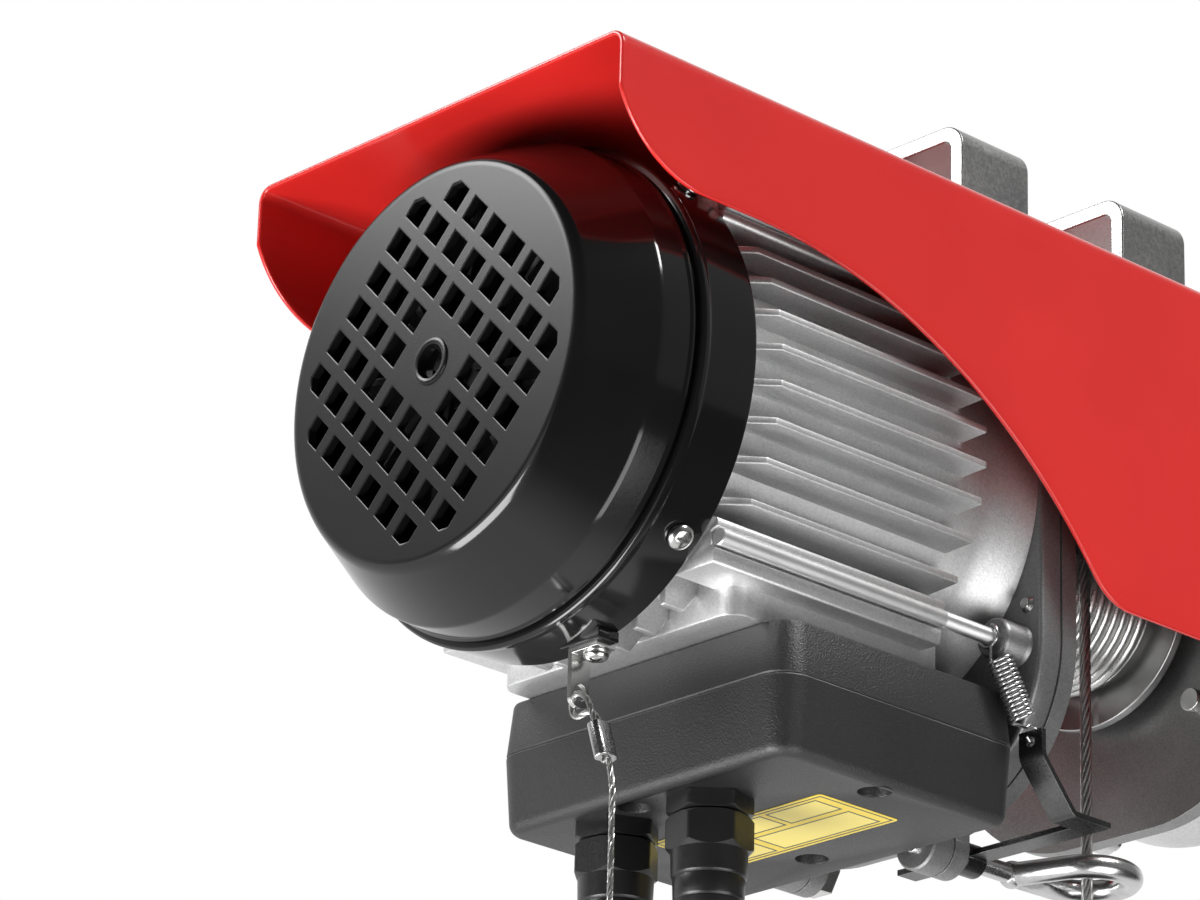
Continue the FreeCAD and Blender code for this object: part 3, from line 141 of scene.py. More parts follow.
studio = dict(
    floorZ=-4.75, floorSize=220, floorColour=(0.85, 0.85, 0.85, 1), floorRough=0.9,
    floorSeen=0.76, glowY=(-3.4, 0), glow=(0.05, 0.9),
    ambient=0.26, dark=0.06,
    panels=(((0.5, 0.85, 0.1), 0.15, 0.75, 0.85), ((0.63, -0.68, 0.37), 0.35, 0.95, 0.16)),
    cameraAt=(-1.0961, -0.9965, -0.6776), lens=153.9, sensor=36, clipStart=0.02,
    ahead=(0.6306, 0.6807, 0.3728), roll=1.63,
    lamps=(
        ("keyLamp", (0.2, -1, 1.25), 0.6, 24),
        ("leftLamp", (-0.745, 0.48, 0.44), 0.35, 3.7),
        ("lowLamp", (-0.75, 0.15, -0.68), 0.5, 9.8),
        ("underLamp", (-0.07, -0.5, -0.62), 0.48, 3),
    ),
)


def addCamera():
    data = bpy.data.cameras.new("camera")
    data.lens = studio["lens"]
    data.sensor_width = studio["sensor"]
    data.clip_start = studio["clipStart"]
    camera = addObject("camera", data)
    aim = Vector(studio["ahead"]).to_track_quat("-Z", "Y").to_matrix().to_4x4()
    camera.matrix_world = Matrix.Translation(studio["cameraAt"]) @ aim @ turned(studio["roll"], "Z")
    scene.camera = camera


def addLamps():
    middle = (cadLow + cadHigh) / 2
    for name, at, size, power in studio["lamps"]:
        data = bpy.data.lights.new(name, "AREA")
        data.size = size
        data.energy = power
        lamp = addObject(name, data)
        lamp.location = at
        lamp.rotation_euler = (middle - Vector(at)).to_track_quat("-Z", "Y").to_euler()


def addWorld():
    world = bpy.data.worlds.new("studio")
    scene.world = world
    world.use_nodes = True
    tree = world.node_tree
    tree.nodes.clear()
    path = addNode(tree, "LightPath", {})
    where = addNode(tree, "TexCoord", {})
    # mirrors see soft bright panels in a dark room
    total = studio["dark"]
    for direction, edge, full, height in studio["panels"]:
        aim = {0: where.outputs["Generated"], 1: Vector(direction).normalized()}
        toward = addNode(tree, "VectorMath", aim, operation="DOT_PRODUCT")
        level = smoothRise(tree, toward.outputs["Value"], edge, full, 0, height)
        total = calculate(tree, "ADD", level, total)
    ambient = addNode(tree, "Background", {"Color": white, "Strength": studio["ambient"]})
    mirrored = addNode(tree, "Background", {"Color": total})
    backdrop = addNode(tree, "Background", {"Color": white})
    seen = calculate(tree, "MAXIMUM", path.outputs["Is Camera Ray"], path.outputs["Is Transmission Ray"])
    light = mixShaders(tree, path.outputs["Is Glossy Ray"], ambient, mirrored)
    shown = mixShaders(tree, seen, light, backdrop)
    addNode(tree, "OutputWorld", {"Surface": shown.outputs[0]})


def addFloor():
    bm = bmesh.new()
    bmesh.ops.create_grid(bm, x_segments=1, y_segments=1, size=studio["floorSize"] / 2)
    bmesh.ops.translate(bm, verts=bm.verts, vec=(0, 0, studio["floorZ"]))
    floor = addObject("floor", meshFrom(bm, "floor"))
    paint, tree, shader = newMaterial("floorPaint")
    path = addNode(tree, "LightPath", {})
    feed(tree, shader, {
        "Base Color": studio["floorColour"], "Roughness": studio["floorRough"], "Emission Color": white,
        "Emission Strength": calculate(tree, "MULTIPLY", path.outputs["Is Camera Ray"], studio["floorSeen"]),
    })
    # mirrors see a bright sheet under and behind the object, dim towards the front
    fade = smoothRise(tree, axisOf(tree, objectSpot(tree), "Y"), *studio["glowY"], *studio["glow"])
    glow = addNode(tree, "Emission", {"Strength": fade})
    mirrored = mixShaders(tree, path.outputs["Is Glossy Ray"], shader, glow)
    # the floor lies below the lowest hook, and a low camera looks up through its back
    side = addNode(tree, "NewGeometry", {})
    clear = addNode(tree, "BsdfTransparent", {})
    oneSided = mixShaders(tree, side.outputs["Backfacing"], mirrored, clear)
    feed(tree, tree.nodes["Material Output"], {"Surface": oneSided.outputs[0]})
    floor.data.materials.append(paint)


scene.view_settings.view_transform = "Standard"
addCamera()
addLamps()
addWorld()
addFloor()
print("studio: camera, lamps and floor")


# Finishes

def newGroup(name, inputs, outputs):
    # an input with no value is a vector
    group = bpy.data.node_groups.new(name, "ShaderNodeTree")
    for label, value in inputs.items():
        kind = "NodeSocketVector" if value is None else "NodeSocketFloat"
        socket = group.interface.new_socket(name=label, in_out="INPUT", socket_type=kind)
        if value is not None:
            socket.default_value = value
    for label in outputs:
        group.interface.new_socket(name=label, in_out="OUTPUT", socket_type="NodeSocketFloat")
    return group, group.nodes.new("NodeGroupInput"), group.nodes.new("NodeGroupOutput")


def makeSurfaceGroup():
    # broad clouds for uneven colour, and fine grain for roughness and bump
    scales = {"Vector": None, "Cloud Scale": 30, "Grain Scale": 900}
    group, given, out = newGroup("surface", scales, ("Cloud", "Grain"))
    for label, detail, low, high in (("Cloud", 3, 0.3, 0.7), ("Grain", 2, 0.25, 0.75)):
        noise = addNode(group, "TexNoise", {
            "Vector": given.outputs["Vector"], "Scale": given.outputs[label + " Scale"], "Detail": detail,
        })
        spread = {"Value": noise.outputs["Fac"], "From Min": low, "From Max": high}
        feed(group, out, {label: addNode(group, "MapRange", spread).outputs["Result"]})
    return group


def makeFlakeGroup():
    # a random brightness for each tiny cell, as metal flakes in lacquer have
    group, given, out = newGroup("flakes", {"Vector": None, "Scale": 1400}, ("Flake",))
    cells = addNode(group, "TexVoronoi", {name: given.outputs[name] for name in ("Vector", "Scale")})
    split = addNode(group, "SeparateColor", {"Color": cells.outputs["Color"]})
    feed(group, out, {"Flake": split.outputs["Red"]})
    return group


def makePanelGroup():
    # how far a spot lies outside an upright rectangle in x and y
    group, given, out = newGroup("panel", {"Vector": None, "Centre": None, "Half": None}, ("Outside",))
    offset = {0: given.outputs["Vector"], 1: given.outputs["Centre"]}
    away = addNode(group, "VectorMath", offset, operation="SUBTRACT")
    size = addNode(group, "VectorMath", {0: away.outputs["Vector"]}, operation="ABSOLUTE")
    reach = {0: size.outputs["Vector"], 1: given.outputs["Half"]}
    beyond = addNode(group, "VectorMath", reach, operation="SUBTRACT")
    split = addNode(group, "SeparateXYZ", {"Vector": beyond.outputs["Vector"]})
    feed(group, out, {"Outside": calculate(group, "MAXIMUM", split.outputs["X"], split.outputs["Y"])})
    return group


surfaceGroup = makeSurfaceGroup()
flakeGroup = makeFlakeGroup()
panelGroup = makePanelGroup()


def fullColour(colour):
    # a grey is written as one number
    if isinstance(colour, float):
        return (colour, colour, colour, 1)
    return (*colour, 1)


def mixColours(tree, factor, low, high):
    if not isinstance(low, bpy.types.NodeSocket):
        low = fullColour(low)
    mix = addNode(tree, "Mix", {"Factor": factor, "A": low, "B": fullColour(high)}, data_type="RGBA")
    return mix.outputs["Result"]


def spreadValue(tree, value, low, high):
    return addNode(tree, "MapRange", {"Value": value, "To Min": low, "To Max": high}).outputs["Result"]


def addPaintedHighlightLine(tree, where, cloud, colour, partingHighlight):
    # a painted highlight: a lighter line along one level, standing in for the light that the parting edge
    # catches, broken up by the clouds
    level, reach, highlightColour = partingHighlight
    line = calculate(tree, "COMPARE", axisOf(tree, where, "Z"), level, reach)
    return mixColours(tree, calculate(tree, "MULTIPLY", line, cloud), colour, highlightColour)


def addFaceRough(tree, where, rough, face):
    # a flat front, up to x, has its own roughness
    limit, faceRough = face
    ahead = calculate(tree, "LESS_THAN", axisOf(tree, where, "X"), limit)
    return addNode(tree, "Mix", {"Factor": ahead, "A": rough, "B": faceRough}).outputs["Result"]


usualFinish = dict(cloud=60, grain=900, metal=0, coat=0, coatRough=0.1, specular=0.5, depth=0.0002)


def makeFinish(name, own):
    look = {**usualFinish, **own}
    material, tree, shader = newMaterial(name)
    where = objectSpot(tree)
    drawn = where
    if "stretch" in look:
        drawn = addNode(tree, "Mapping", {"Vector": where, "Scale": look["stretch"]}).outputs["Vector"]
    scales = {"Vector": drawn, "Cloud Scale": look["cloud"], "Grain Scale": look["grain"]}
    surface = addNode(tree, "Group", scales, node_tree=surfaceGroup)
    cloud, grain = surface.outputs["Cloud"], surface.outputs["Grain"]
    colour = mixColours(tree, cloud, look["colour"], look["patch"])
    if "flake" in look:
        flakes = addNode(tree, "Group", {"Vector": where, "Scale": look["flake"]}, node_tree=flakeGroup)
        shine = spreadValue(tree, flakes.outputs["Flake"], 0, look["flakeMix"])
        colour = mixColours(tree, shine, colour, look["flakeColour"])
    # a painted highlight along the box's parting line
    if "partingHighlight" in look:
        colour = addPaintedHighlightLine(tree, where, cloud, colour, look["partingHighlight"])
    rough = spreadValue(tree, grain, *look["rough"])
    if "face" in look:
        rough = addFaceRough(tree, where, rough, look["face"])
    bump = addNode(tree, "Bump", {"Height": grain, "Strength": look["bump"], "Distance": look["depth"]})
    feed(tree, shader, {
        "Base Color": colour, "Roughness": rough, "Normal": bump.outputs["Normal"], "Metallic": look["metal"],
        "Coat Weight": look["coat"], "Coat Roughness": look["coatRough"],
        "Specular IOR Level": look["specular"],
    })
    return material


finishes = dict(
    glossBlack=dict(colour=0.005, patch=0.0065, rough=(0.1, 0.14), cloud=45, grain=1500, bump=0.004,
                    face=(-0.2377, 0.27)),
    satinBlack=dict(colour=0.008, patch=0.012, rough=(0.28, 0.4), grain=1200, bump=0.08),
    # the last entry paints a lighter line at the parting level: a painted highlight
    texturedBlack=dict(colour=(0.011, 0.011, 0.0115), patch=(0.016, 0.016, 0.0165), rough=(0.38, 0.52),
                       cloud=25, grain=1900, bump=0.5, specular=0.58, partingHighlight=(-0.2076, 0.00022, 0.16)),
    hoodRed=dict(colour=(0.6, 0.018, 0.016), patch=(0.68, 0.024, 0.02), rough=(0.2, 0.27), cloud=14,
                 grain=500, bump=0.025, coat=0.3, coatRough=0.08),
    silverLacquer=dict(colour=0.56, patch=0.66, rough=(0.42, 0.54), cloud=30, grain=1700, bump=0.14,
                       metal=0.95, flake=1900, flakeColour=0.95, flakeMix=0.34),
    darkCast=dict(colour=0.2, patch=0.28, rough=(0.36, 0.5), cloud=40, grain=1600, bump=0.1,
                  metal=0.85, flake=2200, flakeColour=0.6, flakeMix=0.2),
    zinc=dict(colour=(0.6, 0.6, 0.59), patch=(0.7, 0.7, 0.69), rough=(0.18, 0.26), cloud=90, grain=1800,
              bump=0.01, metal=1),
    darkZinc=dict(colour=0.07, patch=0.12, rough=(0.24, 0.34), grain=1500, bump=0.02, metal=1),
    polished=dict(colour=0.58, patch=0.66, rough=(0.2, 0.3), cloud=50, grain=600, bump=0.03, metal=1,
                  stretch=(1, 12, 12)),
    brightRod=dict(colour=0.74, patch=0.8, rough=(0.4, 0.48), cloud=50, bump=0.02, metal=1),
    flatBar=dict(colour=0.36, patch=(0.43, 0.43, 0.42), rough=(0.28, 0.42), bump=0.06, metal=1),
    coreSteel=dict(colour=(0.16, 0.16, 0.17), patch=(0.24, 0.24, 0.25), rough=(0.4, 0.55), grain=700,
                   bump=0.15, metal=0.9, stretch=(20, 1, 1)),
    copper=dict(colour=(0.5, 0.2, 0.08), patch=(0.62, 0.27, 0.11), rough=(0.28, 0.4), cloud=80, bump=0.3,
                metal=0.9, stretch=(1, 8, 8)),
    hookBlack=dict(colour=0.02, patch=0.035, rough=(0.3, 0.42), grain=700, bump=0.15, coat=0.2),
    rubber=dict(colour=0.014, patch=0.022, rough=(0.55, 0.7), bump=0.15),
    palePlastic=dict(colour=(0.66, 0.66, 0.63), patch=(0.74, 0.74, 0.71), rough=(0.35, 0.5), bump=0.06),
    softAluminium=dict(colour=0.44, patch=0.52, rough=(0.2, 0.3), cloud=200, grain=1500, bump=0.1,
                       metal=1),
    strandSteel=dict(colour=(0.5, 0.5, 0.49), patch=(0.62, 0.62, 0.61), rough=(0.25, 0.38), cloud=200,
                     grain=1500, bump=0.05, metal=1),
)
materials = {name: makeFinish(name, look) for name, look in finishes.items()}

# A blank sticker: its border line and the outlines of its empty panels are the only print
sticker = dict(
    yellow=(0.78, 0.58, 0.05), faded=(0.82, 0.63, 0.07), ink=(0.03, 0.028, 0.02),
    blank=(0.84, 0.69, 0.17), rough=(0.35, 0.45), corner=1.2, thick=0.15, round=0.05,
    sheet=((117, 149), (-38.5, 30)), borderIn=1.4, line=0.35, panelDeep=50,
    panels=(
        ((120.2, 130.5), (-33.5, -14)), ((120.2, 130.5), (-11.5, 4)),
        ((133.5, 146), (-33.5, 4)), ((120.2, 146), (7.5, 25.5)),
    ),
)


def makeSticker(name, look):
    material, tree, shader = newMaterial(name)
    where = objectSpot(tree)
    surface = addNode(tree, "Group", {"Vector": where}, node_tree=surfaceGroup)
    colour = mixColours(tree, surface.outputs["Cloud"], look["yellow"], look["faded"])
    deep = look["panelDeep"] * mm
    for across, along in (look["sheet"],) + look["panels"]:
        panel = addNode(tree, "Group", {
            "Vector": where, "Centre": spot(sum(across) / 2, sum(along) / 2, 0),
            "Half": Vector((across[1] - across[0], along[1] - along[0], 0)) * mm / 2,
        }, node_tree=panelGroup)
        outside = panel.outputs["Outside"]
        lineAt = 0
        if across is look["sheet"][0]:
            lineAt = -look["borderIn"] * mm
        else:
            inner = calculate(tree, "COMPARE", outside, -deep, deep)
            colour = mixColours(tree, inner, colour, look["blank"])
        line = calculate(tree, "COMPARE", outside, lineAt, look["line"] * mm)
        colour = mixColours(tree, line, colour, look["ink"])
    rough = spreadValue(tree, surface.outputs["Grain"], *look["rough"])
    feed(tree, shader, {"Base Color": colour, "Roughness": rough})
    return material


materials["stickerYellow"] = makeSticker("stickerYellow", sticker)
print("finishes:", len(materials))


# Modelling tools

merge = dict(piece=0.001, part=0.0001, solid=0.000001)     # the solids are in metres


def weld(bm, kind):
    bmesh.ops.remove_doubles(bm, verts=bm.verts, dist=merge[kind])


def faceOut(bm):
    bmesh.ops.recalc_face_normals(bm, faces=bm.faces)


def finishPiece(name, mesh, body, finish, node, sharp):
    mesh.shade_smooth()
    mesh.set_sharp_from_angle(angle=radians(sharp))
    mesh.materials.clear()
    mesh.materials.append(materials[finish])
    piece = addObject(name, mesh)
    if body:        # a piece given no body is left unattached
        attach(piece, body)
    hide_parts(node)
    return piece


def addPiece(name, bm, finish, node, sharp=32):
    weld(bm, "piece")
    faceOut(bm)
    mesh = meshFrom(bm, name)
    mesh.transform(place)
    return finishPiece(name, mesh, "frame", finish, node, sharp)


def addWire(name, mesh, body, finish, node):
    mesh.transform(place)
    return finishPiece(name, mesh, body, finish, node, 50)


def addEdgeRound(piece, width, segments=2, angle=35):
    rounding = piece.modifiers.new("edgeRound", "BEVEL")
    rounding.width = width * mm
    rounding.segments = segments
    rounding.limit_method = "ANGLE"
    rounding.angle_limit = radians(angle)


def dressNode(node, body, finish, width):
    # the solid's own shape with its edges rounded
    bm = bmesh.new()
    bm.from_mesh(nodes[node].data)
    weld(bm, "solid")
    bmesh.ops.dissolve_limit(bm, angle_limit=radians(0.5), verts=bm.verts, edges=bm.edges)
    name = node + "Dressed"
    piece = finishPiece(name, meshFrom(bm, name), body, finish, node, 35)
    if width > 0:
        addEdgeRound(piece, width)


def edgeLoop(bm, points):
    verts = [bm.verts.new(p) for p in points]
    return [bm.edges.new((verts[k - 1], verts[k])) for k in range(len(verts))]


def circleLoop(bm, centre, radius, steps, axis="z"):
    made = bmesh.ops.create_circle(bm, cap_ends=False, segments=steps, radius=radius)["verts"]
    if axis == "x":
        bmesh.ops.rotate(bm, verts=made, cent=origin, matrix=turned(90, "Y"))
    bmesh.ops.translate(bm, verts=made, vec=centre)
    return list(dict.fromkeys(e for v in made for e in v.link_edges))


def bridgeLoops(bm, loops):
    for near, far in zip(loops, loops[1:]):
        bmesh.ops.bridge_loops(bm, edges=near + far)


def fillFlat(bm, edges, normal):
    bmesh.ops.triangle_fill(bm, use_beauty=True, use_dissolve=False, edges=edges, normal=normal)


def spinAbout(bm, points, axis="x", centre=origin, steps=96, closed=True):
    # points are (along, radius); an outline that keeps off the axis closes to a ring
    verts = []
    for along, radius in points:
        offset = (along, 0, radius) if axis == "x" else (radius, 0, along)
        verts.append(bm.verts.new(Vector(centre) + Vector(offset)))
    edges = [bm.edges.new(pair) for pair in zip(verts, verts[1:])]
    if closed and points[0][1] > 0 and points[-1][1] > 0:
        edges.append(bm.edges.new((verts[-1], verts[0])))
    direction = (1, 0, 0) if axis == "x" else (0, 0, 1)
    bmesh.ops.spin(bm, geom=verts + edges, cent=centre, axis=direction, dvec=origin, angle=2 * pi,
                   steps=steps, use_merge=True)


def spunSolid(points, steps=64):
    part = bmesh.new()
    spinAbout(part, points, "z", steps=steps)
    weld(part, "part")
    faceOut(part)
    return part


def inPlane(plane, level, u, v):
    point = [u, v]
    point.insert("xyz".index(plane), level)
    return point


def rectangle(x, y, *radius):
    return [(x[0], y[0], *radius), (x[1], y[0], *radius), (x[1], y[1], *radius), (x[0], y[1], *radius)]


def pushFaces(bm, move):
    made = bmesh.ops.extrude_face_region(bm, geom=bm.faces[:])["geom"]
    bmesh.ops.translate(bm, verts=[g for g in made if isinstance(g, bmesh.types.BMVert)], vec=move)
    faceOut(bm)


def roundEdges(bm, edges, width, segments):
    bmesh.ops.bevel(bm, geom=edges, offset=width, offset_type="OFFSET", segments=segments, profile=0.5,
                    affect="EDGES", material=-1, clamp_overlap=True)


def sharpEdges(bm, angle):
    limit = radians(angle)
    return [e for e in bm.edges if len(e.link_faces) == 2 and e.calc_face_angle(0) > limit]


def pushedOutline(corners, plane, low, high, segments=10):
    # corners are (u, v) or (u, v, radius); a vertex bevel rounds them
    part = bmesh.new()
    verts = [part.verts.new(inPlane(plane, low, *corner[:2])) for corner in corners]
    part.faces.new(verts)
    for vert, corner in zip(verts, corners):
        if len(corner) > 2:
            near = [e.other_vert(vert).co - vert.co for e in vert.link_edges]
            half = near[0].angle(near[1]) / 2
            bmesh.ops.bevel(part, geom=[vert], offset=corner[2] / tan(half), offset_type="OFFSET",
                            segments=segments, profile=0.5, affect="VERTICES", material=-1,
                            clamp_overlap=False)
    pushFaces(part, inPlane(plane, high - low, 0, 0))
    return part


def addPart(bm, part, move=Matrix.Identity(4)):
    bmesh.ops.transform(part, matrix=move, verts=part.verts)
    mesh = meshFrom(part, "part")
    bm.from_mesh(mesh)
    bpy.data.meshes.remove(mesh)


def addPrism(bm, corners, plane, low, high, width, segments=2, cornerSegments=10):
    # an outline pushed to a solid, its edges rounded, kept apart from what bm already holds
    part = pushedOutline(corners, plane, low, high, cornerSegments)
    roundEdges(part, sharpEdges(part, 30), width, segments)
    addPart(bm, part)


def carve(bm, tool, operation="DIFFERENCE"):
    work = []
    for source in (bm, tool):
        faceOut(source)
        work.append(addObject("work", meshFrom(source, "work")))
    step = work[0].modifiers.new("carve", "BOOLEAN")
    step.object = work[1]
    step.operation = operation
    step.solver = "EXACT"
    shaped = work[0].evaluated_get(bpy.context.evaluated_depsgraph_get())
    made = bmesh.new()
    made.from_mesh(shaped.to_mesh())
    for thing in work:
        mesh = thing.data
        bpy.data.objects.remove(thing)
        bpy.data.meshes.remove(mesh)
    return made


# Fan cover: spun shell, flat front with a square grid set on its corner

fanCover = dict(
    faceR=57, faceBack=2.7, backR=58.4, steps=160,
    rows=8, pitch=11.4, hole=7.4, lead=0.35, clip=2.6, hubClear=1.5, clipFrom=5.5, gridEnd=6.5,
    hubR=7, hubLip=0.3, hubBore=5, hubSteps=40,
    tabPad=rectangle((47, 55), (-21, -5)), padZ=(-73.7, -70.4), padRound=0.5,
    outside=(
        (0, 57), (0, 57.5), (0.1, 58.3), (0.45, 59.1), (1.1, 59.9), (2.2, 60.7), (2.9, 61.08),
        (20.4, 70.48), (21, 70.8), (21.6, 71), (22.2, 71.04), (30.2, 71.56), (30.8, 71.6),
        (31.2, 71.9), (31.6, 72.2), (32.2, 72.2), (32.5, 71.6), (32.6, 70.9), (33.9, 70.9), (34, 73.4),
        (34.3, 73.9), (34.8, 74.2), (35.8, 74.2), (36.4, 74), (36.9, 73.8), (37.5, 73.78),
        (53.8, 73.32), (54.4, 73.3), (54.8, 73.15), (55, 72.8),
    ),
    inside=((55, 71.2), (54.8, 71), (35.5, 71), (35.5, 68.5), (21, 68.5), (2.7, 58.4)),
)


def gridHoles(look):
    half, clip = look["hole"] / 2, look["clip"]
    steps = [k - (look["rows"] - 1) / 2 for k in range(look["rows"])]
    found = []
    for i in steps:
        for j in steps:
            reach = abs(i) + abs(j)
            if not look["hubClear"] <= reach <= look["gridEnd"]:
                continue
            corners = rectangle((-half, half), (-half, half))
            if reach > look["clipFrom"]:        # the corner nearest the rim is cut off
                p, q = copysign(half, i), copysign(half, j)
                at = corners.index((p, q))
                pair = [(p, q - copysign(clip, j)), (p - copysign(clip, i), q)]
                if corners[at - 1][0] != p:
                    pair.reverse()
                corners[at:at + 1] = pair
            found.append((i * look["pitch"], j * look["pitch"], corners))
    return found


def cutOpening(bm, centre, corners, look):
    # the hole's rim is drawn larger at the front and stepped in, which rounds its edge
    slant = sqrt(0.5)
    loops = []
    lead, back = look["lead"], look["faceBack"]
    for grow, depth in ((lead + 0.2, 0), (lead, 0), (lead * 0.3, 0.1), (0, lead), (0, back)):
        points = []
        for a, b in corners:
            p = centre[0] + a + copysign(grow, a)
            q = centre[1] + b + copysign(grow, b)
            points.append((depth, (p - q) * slant, (p + q) * slant))
        loops.append(edgeLoop(bm, points))
    bridgeLoops(bm, loops)
    return loops[0], loops[-1]


def makeFanCover(look):
    bm = bmesh.new()
    hubR, bore, deep = look["hubR"], look["hubBore"], look["faceBack"]
    lip = hubR + look["hubLip"]
    front = circleLoop(bm, origin, look["faceR"], look["steps"], "x")
    back = circleLoop(bm, (deep, 0, 0), look["backR"], look["steps"], "x")
    for p, q, corners in gridHoles(look):
        near, far = cutOpening(bm, (p, q), corners, look)
        front += near
        back += far
    front += circleLoop(bm, origin, lip, look["hubSteps"], "x")
    back += circleLoop(bm, (deep, 0, 0), bore, look["hubSteps"], "x")
    fillFlat(bm, front, (-1, 0, 0))
    fillFlat(bm, back, (1, 0, 0))
    shell = bmesh.new()
    hub = [(0, lip), (0, hubR), (-0.45, hubR - 0.15), (-0.6, hubR - 0.5), (-0.6, bore + 0.6),
           (-0.4, bore + 0.1), (0, bore), (deep, bore)]
    spinAbout(shell, hub, steps=look["hubSteps"], closed=False)
    spinAbout(shell, look["outside"] + look["inside"], steps=look["steps"], closed=False)
    addPart(bm, shell)
    addPrism(bm, look["tabPad"], "z", *look["padZ"], look["padRound"])
    addPiece("fanCover", bm, "glossBlack", "fan_cover", 30)


makeFanCover(fanCover)
print("fan cover")


# Pan-head screws with a cross recess

panHead = dict(rim=3.9, height=2.6, cross=2.4, slot=0.9, deep=1.5, shank=2, length=8)


def panScrew(look):
    rim, height, shank, foot = look["rim"], look["height"], look["shank"], -look["length"]
    head = bmesh.new()
    spinAbout(head, [(foot, 0), (foot, shank), (0, shank), (0, rim - 0.15), (0.3, rim), (height * 0.45, rim),
                     (height * 0.72, rim - 0.4), (height * 0.9, rim - 1.1), (height, rim - 2), (height, 0)],
              "z", steps=40)
    size = Matrix.Diagonal((look["cross"] * 2, look["slot"], look["deep"] * 2, 1))
    for turn in (0, 90):
        cutter = bmesh.new()
        at = Matrix.Translation((0, 0, height)) @ turned(turn, "Z")
        bmesh.ops.create_cube(cutter, size=1, matrix=at @ size)
        weld(head, "part")
        head = carve(head, cutter)
    return head


coverScrews = dict(x=47, radius=73.9, angles=(45, 135, 225, 315), tabAt=(52.8, -14, -75.2), tabRim=3.6,
                   tabLength=9)


def makeCoverScrews(look):
    bm = bmesh.new()
    stand = Matrix.Translation((look["x"], 0, look["radius"]))
    for angle in look["angles"]:
        addPart(bm, panScrew(panHead), turned(angle, "X") @ stand)
    # the one in the wire's tab points down
    tabScrew = dict(panHead, rim=look["tabRim"], length=look["tabLength"])
    addPart(bm, panScrew(tabScrew), Matrix.Translation(look["tabAt"]) @ turned(180, "X"))
    addPiece("coverScrews", bm, "zinc", "cover_screws")


makeCoverScrews(coverScrews)
print("cover screws")


# Motor housing: spun barrel, fins, rod ledges and the pad for the box

rodAt = dict(y=56.8, z=50.5)      # the ledges, the bosses and the rods share these four places
rodSigns = [(sy, sz) for sy in (1, -1) for sz in (1, -1)]
rodSpots = [(sy * rodAt["y"], sz * rodAt["z"]) for sy, sz in rodSigns]

housing = dict(
    x0=57, steps=144,
    barrel=((57, 57), (57, 61.5), (57.5, 62), (160, 62), (165, 62.8), (170, 64.6), (175, 65.9),
            (177.6, 66.4), (178, 66), (178, 57)),
    finTip=71.5, finFoot=40, finPitch=10.8, finTop=37, finCount=8, finRoot=1.7, finEdge=1.05,
    finFrom=60, finEnd=151.6, finRound=0.45, topFins=2, footFins=3,
    pad=((72.2, -48, 6), (154, -48), (154, 48), (72.2, 48, 6)), padX=72.2, padZ=(-66.5, -40), padRound=0.6,
    # from the rod's middle, outwards and away from the barrel's middle
    ledge=((-16.8, -9.5), (0.3, -5.6, 1.5), (0.3, -2.9, 0.4), (-2.6, -2.3, 0.8), (-2.6, 2.3, 0.8),
           (-0.9, 2.9, 0.4), (-1.5, 7.4, 1), (-16.8, 7.4)),
    ledgeEnd=148, ledgeRound=0.4,
)


def addFin(bm, look, level, upright, side, short=False):
    tip = sqrt(look["finTip"] ** 2 - level ** 2)
    x0, end, foot, root = look["finFrom"], look["finEnd"], look["finFoot"], look["finRoot"]
    corners = [(x0, foot), (x0, tip - 6), (x0 + 7, tip), (end - 1.3, tip), (end, foot)]
    if short:       # these end at the pad
        end = look["padX"] + 0.5
        corners = [(x0, foot), (x0, tip), (end - 5, tip), (end, tip - 6.3), (end, foot)]
    part = pushedOutline([(x, side * r) for x, r in corners], "z", -root, root)
    # the fin thins towards its tip, as a casting's draft needs
    for vert in part.verts:
        share = max(0, (abs(vert.co.y) - foot) / (tip - foot))
        vert.co.z *= 1 + share * (look["finEdge"] / root - 1)
    roundEdges(part, sharpEdges(part, 20), look["finRound"], 3)
    move = Matrix.Translation((0, 0, level))
    if upright:
        move = Matrix.Translation((0, level, 0)) @ turned(90, "X")
    addPart(bm, part, move)


def makeHousing(look):
    bm = bmesh.new()
    spinAbout(bm, look["barrel"], steps=look["steps"])
    pitch, top, foot = look["finPitch"], look["topFins"], look["footFins"]
    for n in range(look["finCount"]):
        for side in (1, -1):
            addFin(bm, look, look["finTop"] - n * pitch, False, side)
    for n in range(-top, top + 1):
        addFin(bm, look, n * pitch, True, 1)
    for n in range(-foot, foot + 1):
        addFin(bm, look, n * pitch, True, -1, True)
    for sy, sz in rodSigns:
        corners = [(sy * (rodAt["y"] + y), sz * (rodAt["z"] + z), *radius) for y, z, *radius in look["ledge"]]
        addPrism(bm, corners, "x", look["x0"], look["ledgeEnd"], look["ledgeRound"], cornerSegments=4)
    addPrism(bm, look["pad"], "z", *look["padZ"], look["padRound"])
    addPiece("motorHousing", bm, "silverLacquer", "motor_housing", 28)


makeHousing(housing)
print("motor housing")


# Flange: tall rounded plate with ears at its foot, bosses for the rods and a hub

flange = dict(
    x0=178, thick=9, round=1.4,
    plate=((-67, 67, 54), (67, 67, 54), (67, -98, 50), (-67, -98, 50)),
    ears=((-17, -101.5), (40, -95)),
    ear=((0.3, 3.05), (0.3, 7.4), (0.9, 8), (8.4, 8), (9, 7.4), (9, 3.05)),
    boss=((1, 0), (1, 7.2), (0, 6.8), (-0.7, 6.4), (-1.6, 6.2), (-8.6, 6.2), (-9.4, 5.9), (-9.9, 5.4),
          (-10, 4.8), (-10, 2.5), (-3, 2.5), (-3, 0)),
    hub=((8, 8), (8, 15), (26, 15), (26, 8)),
)


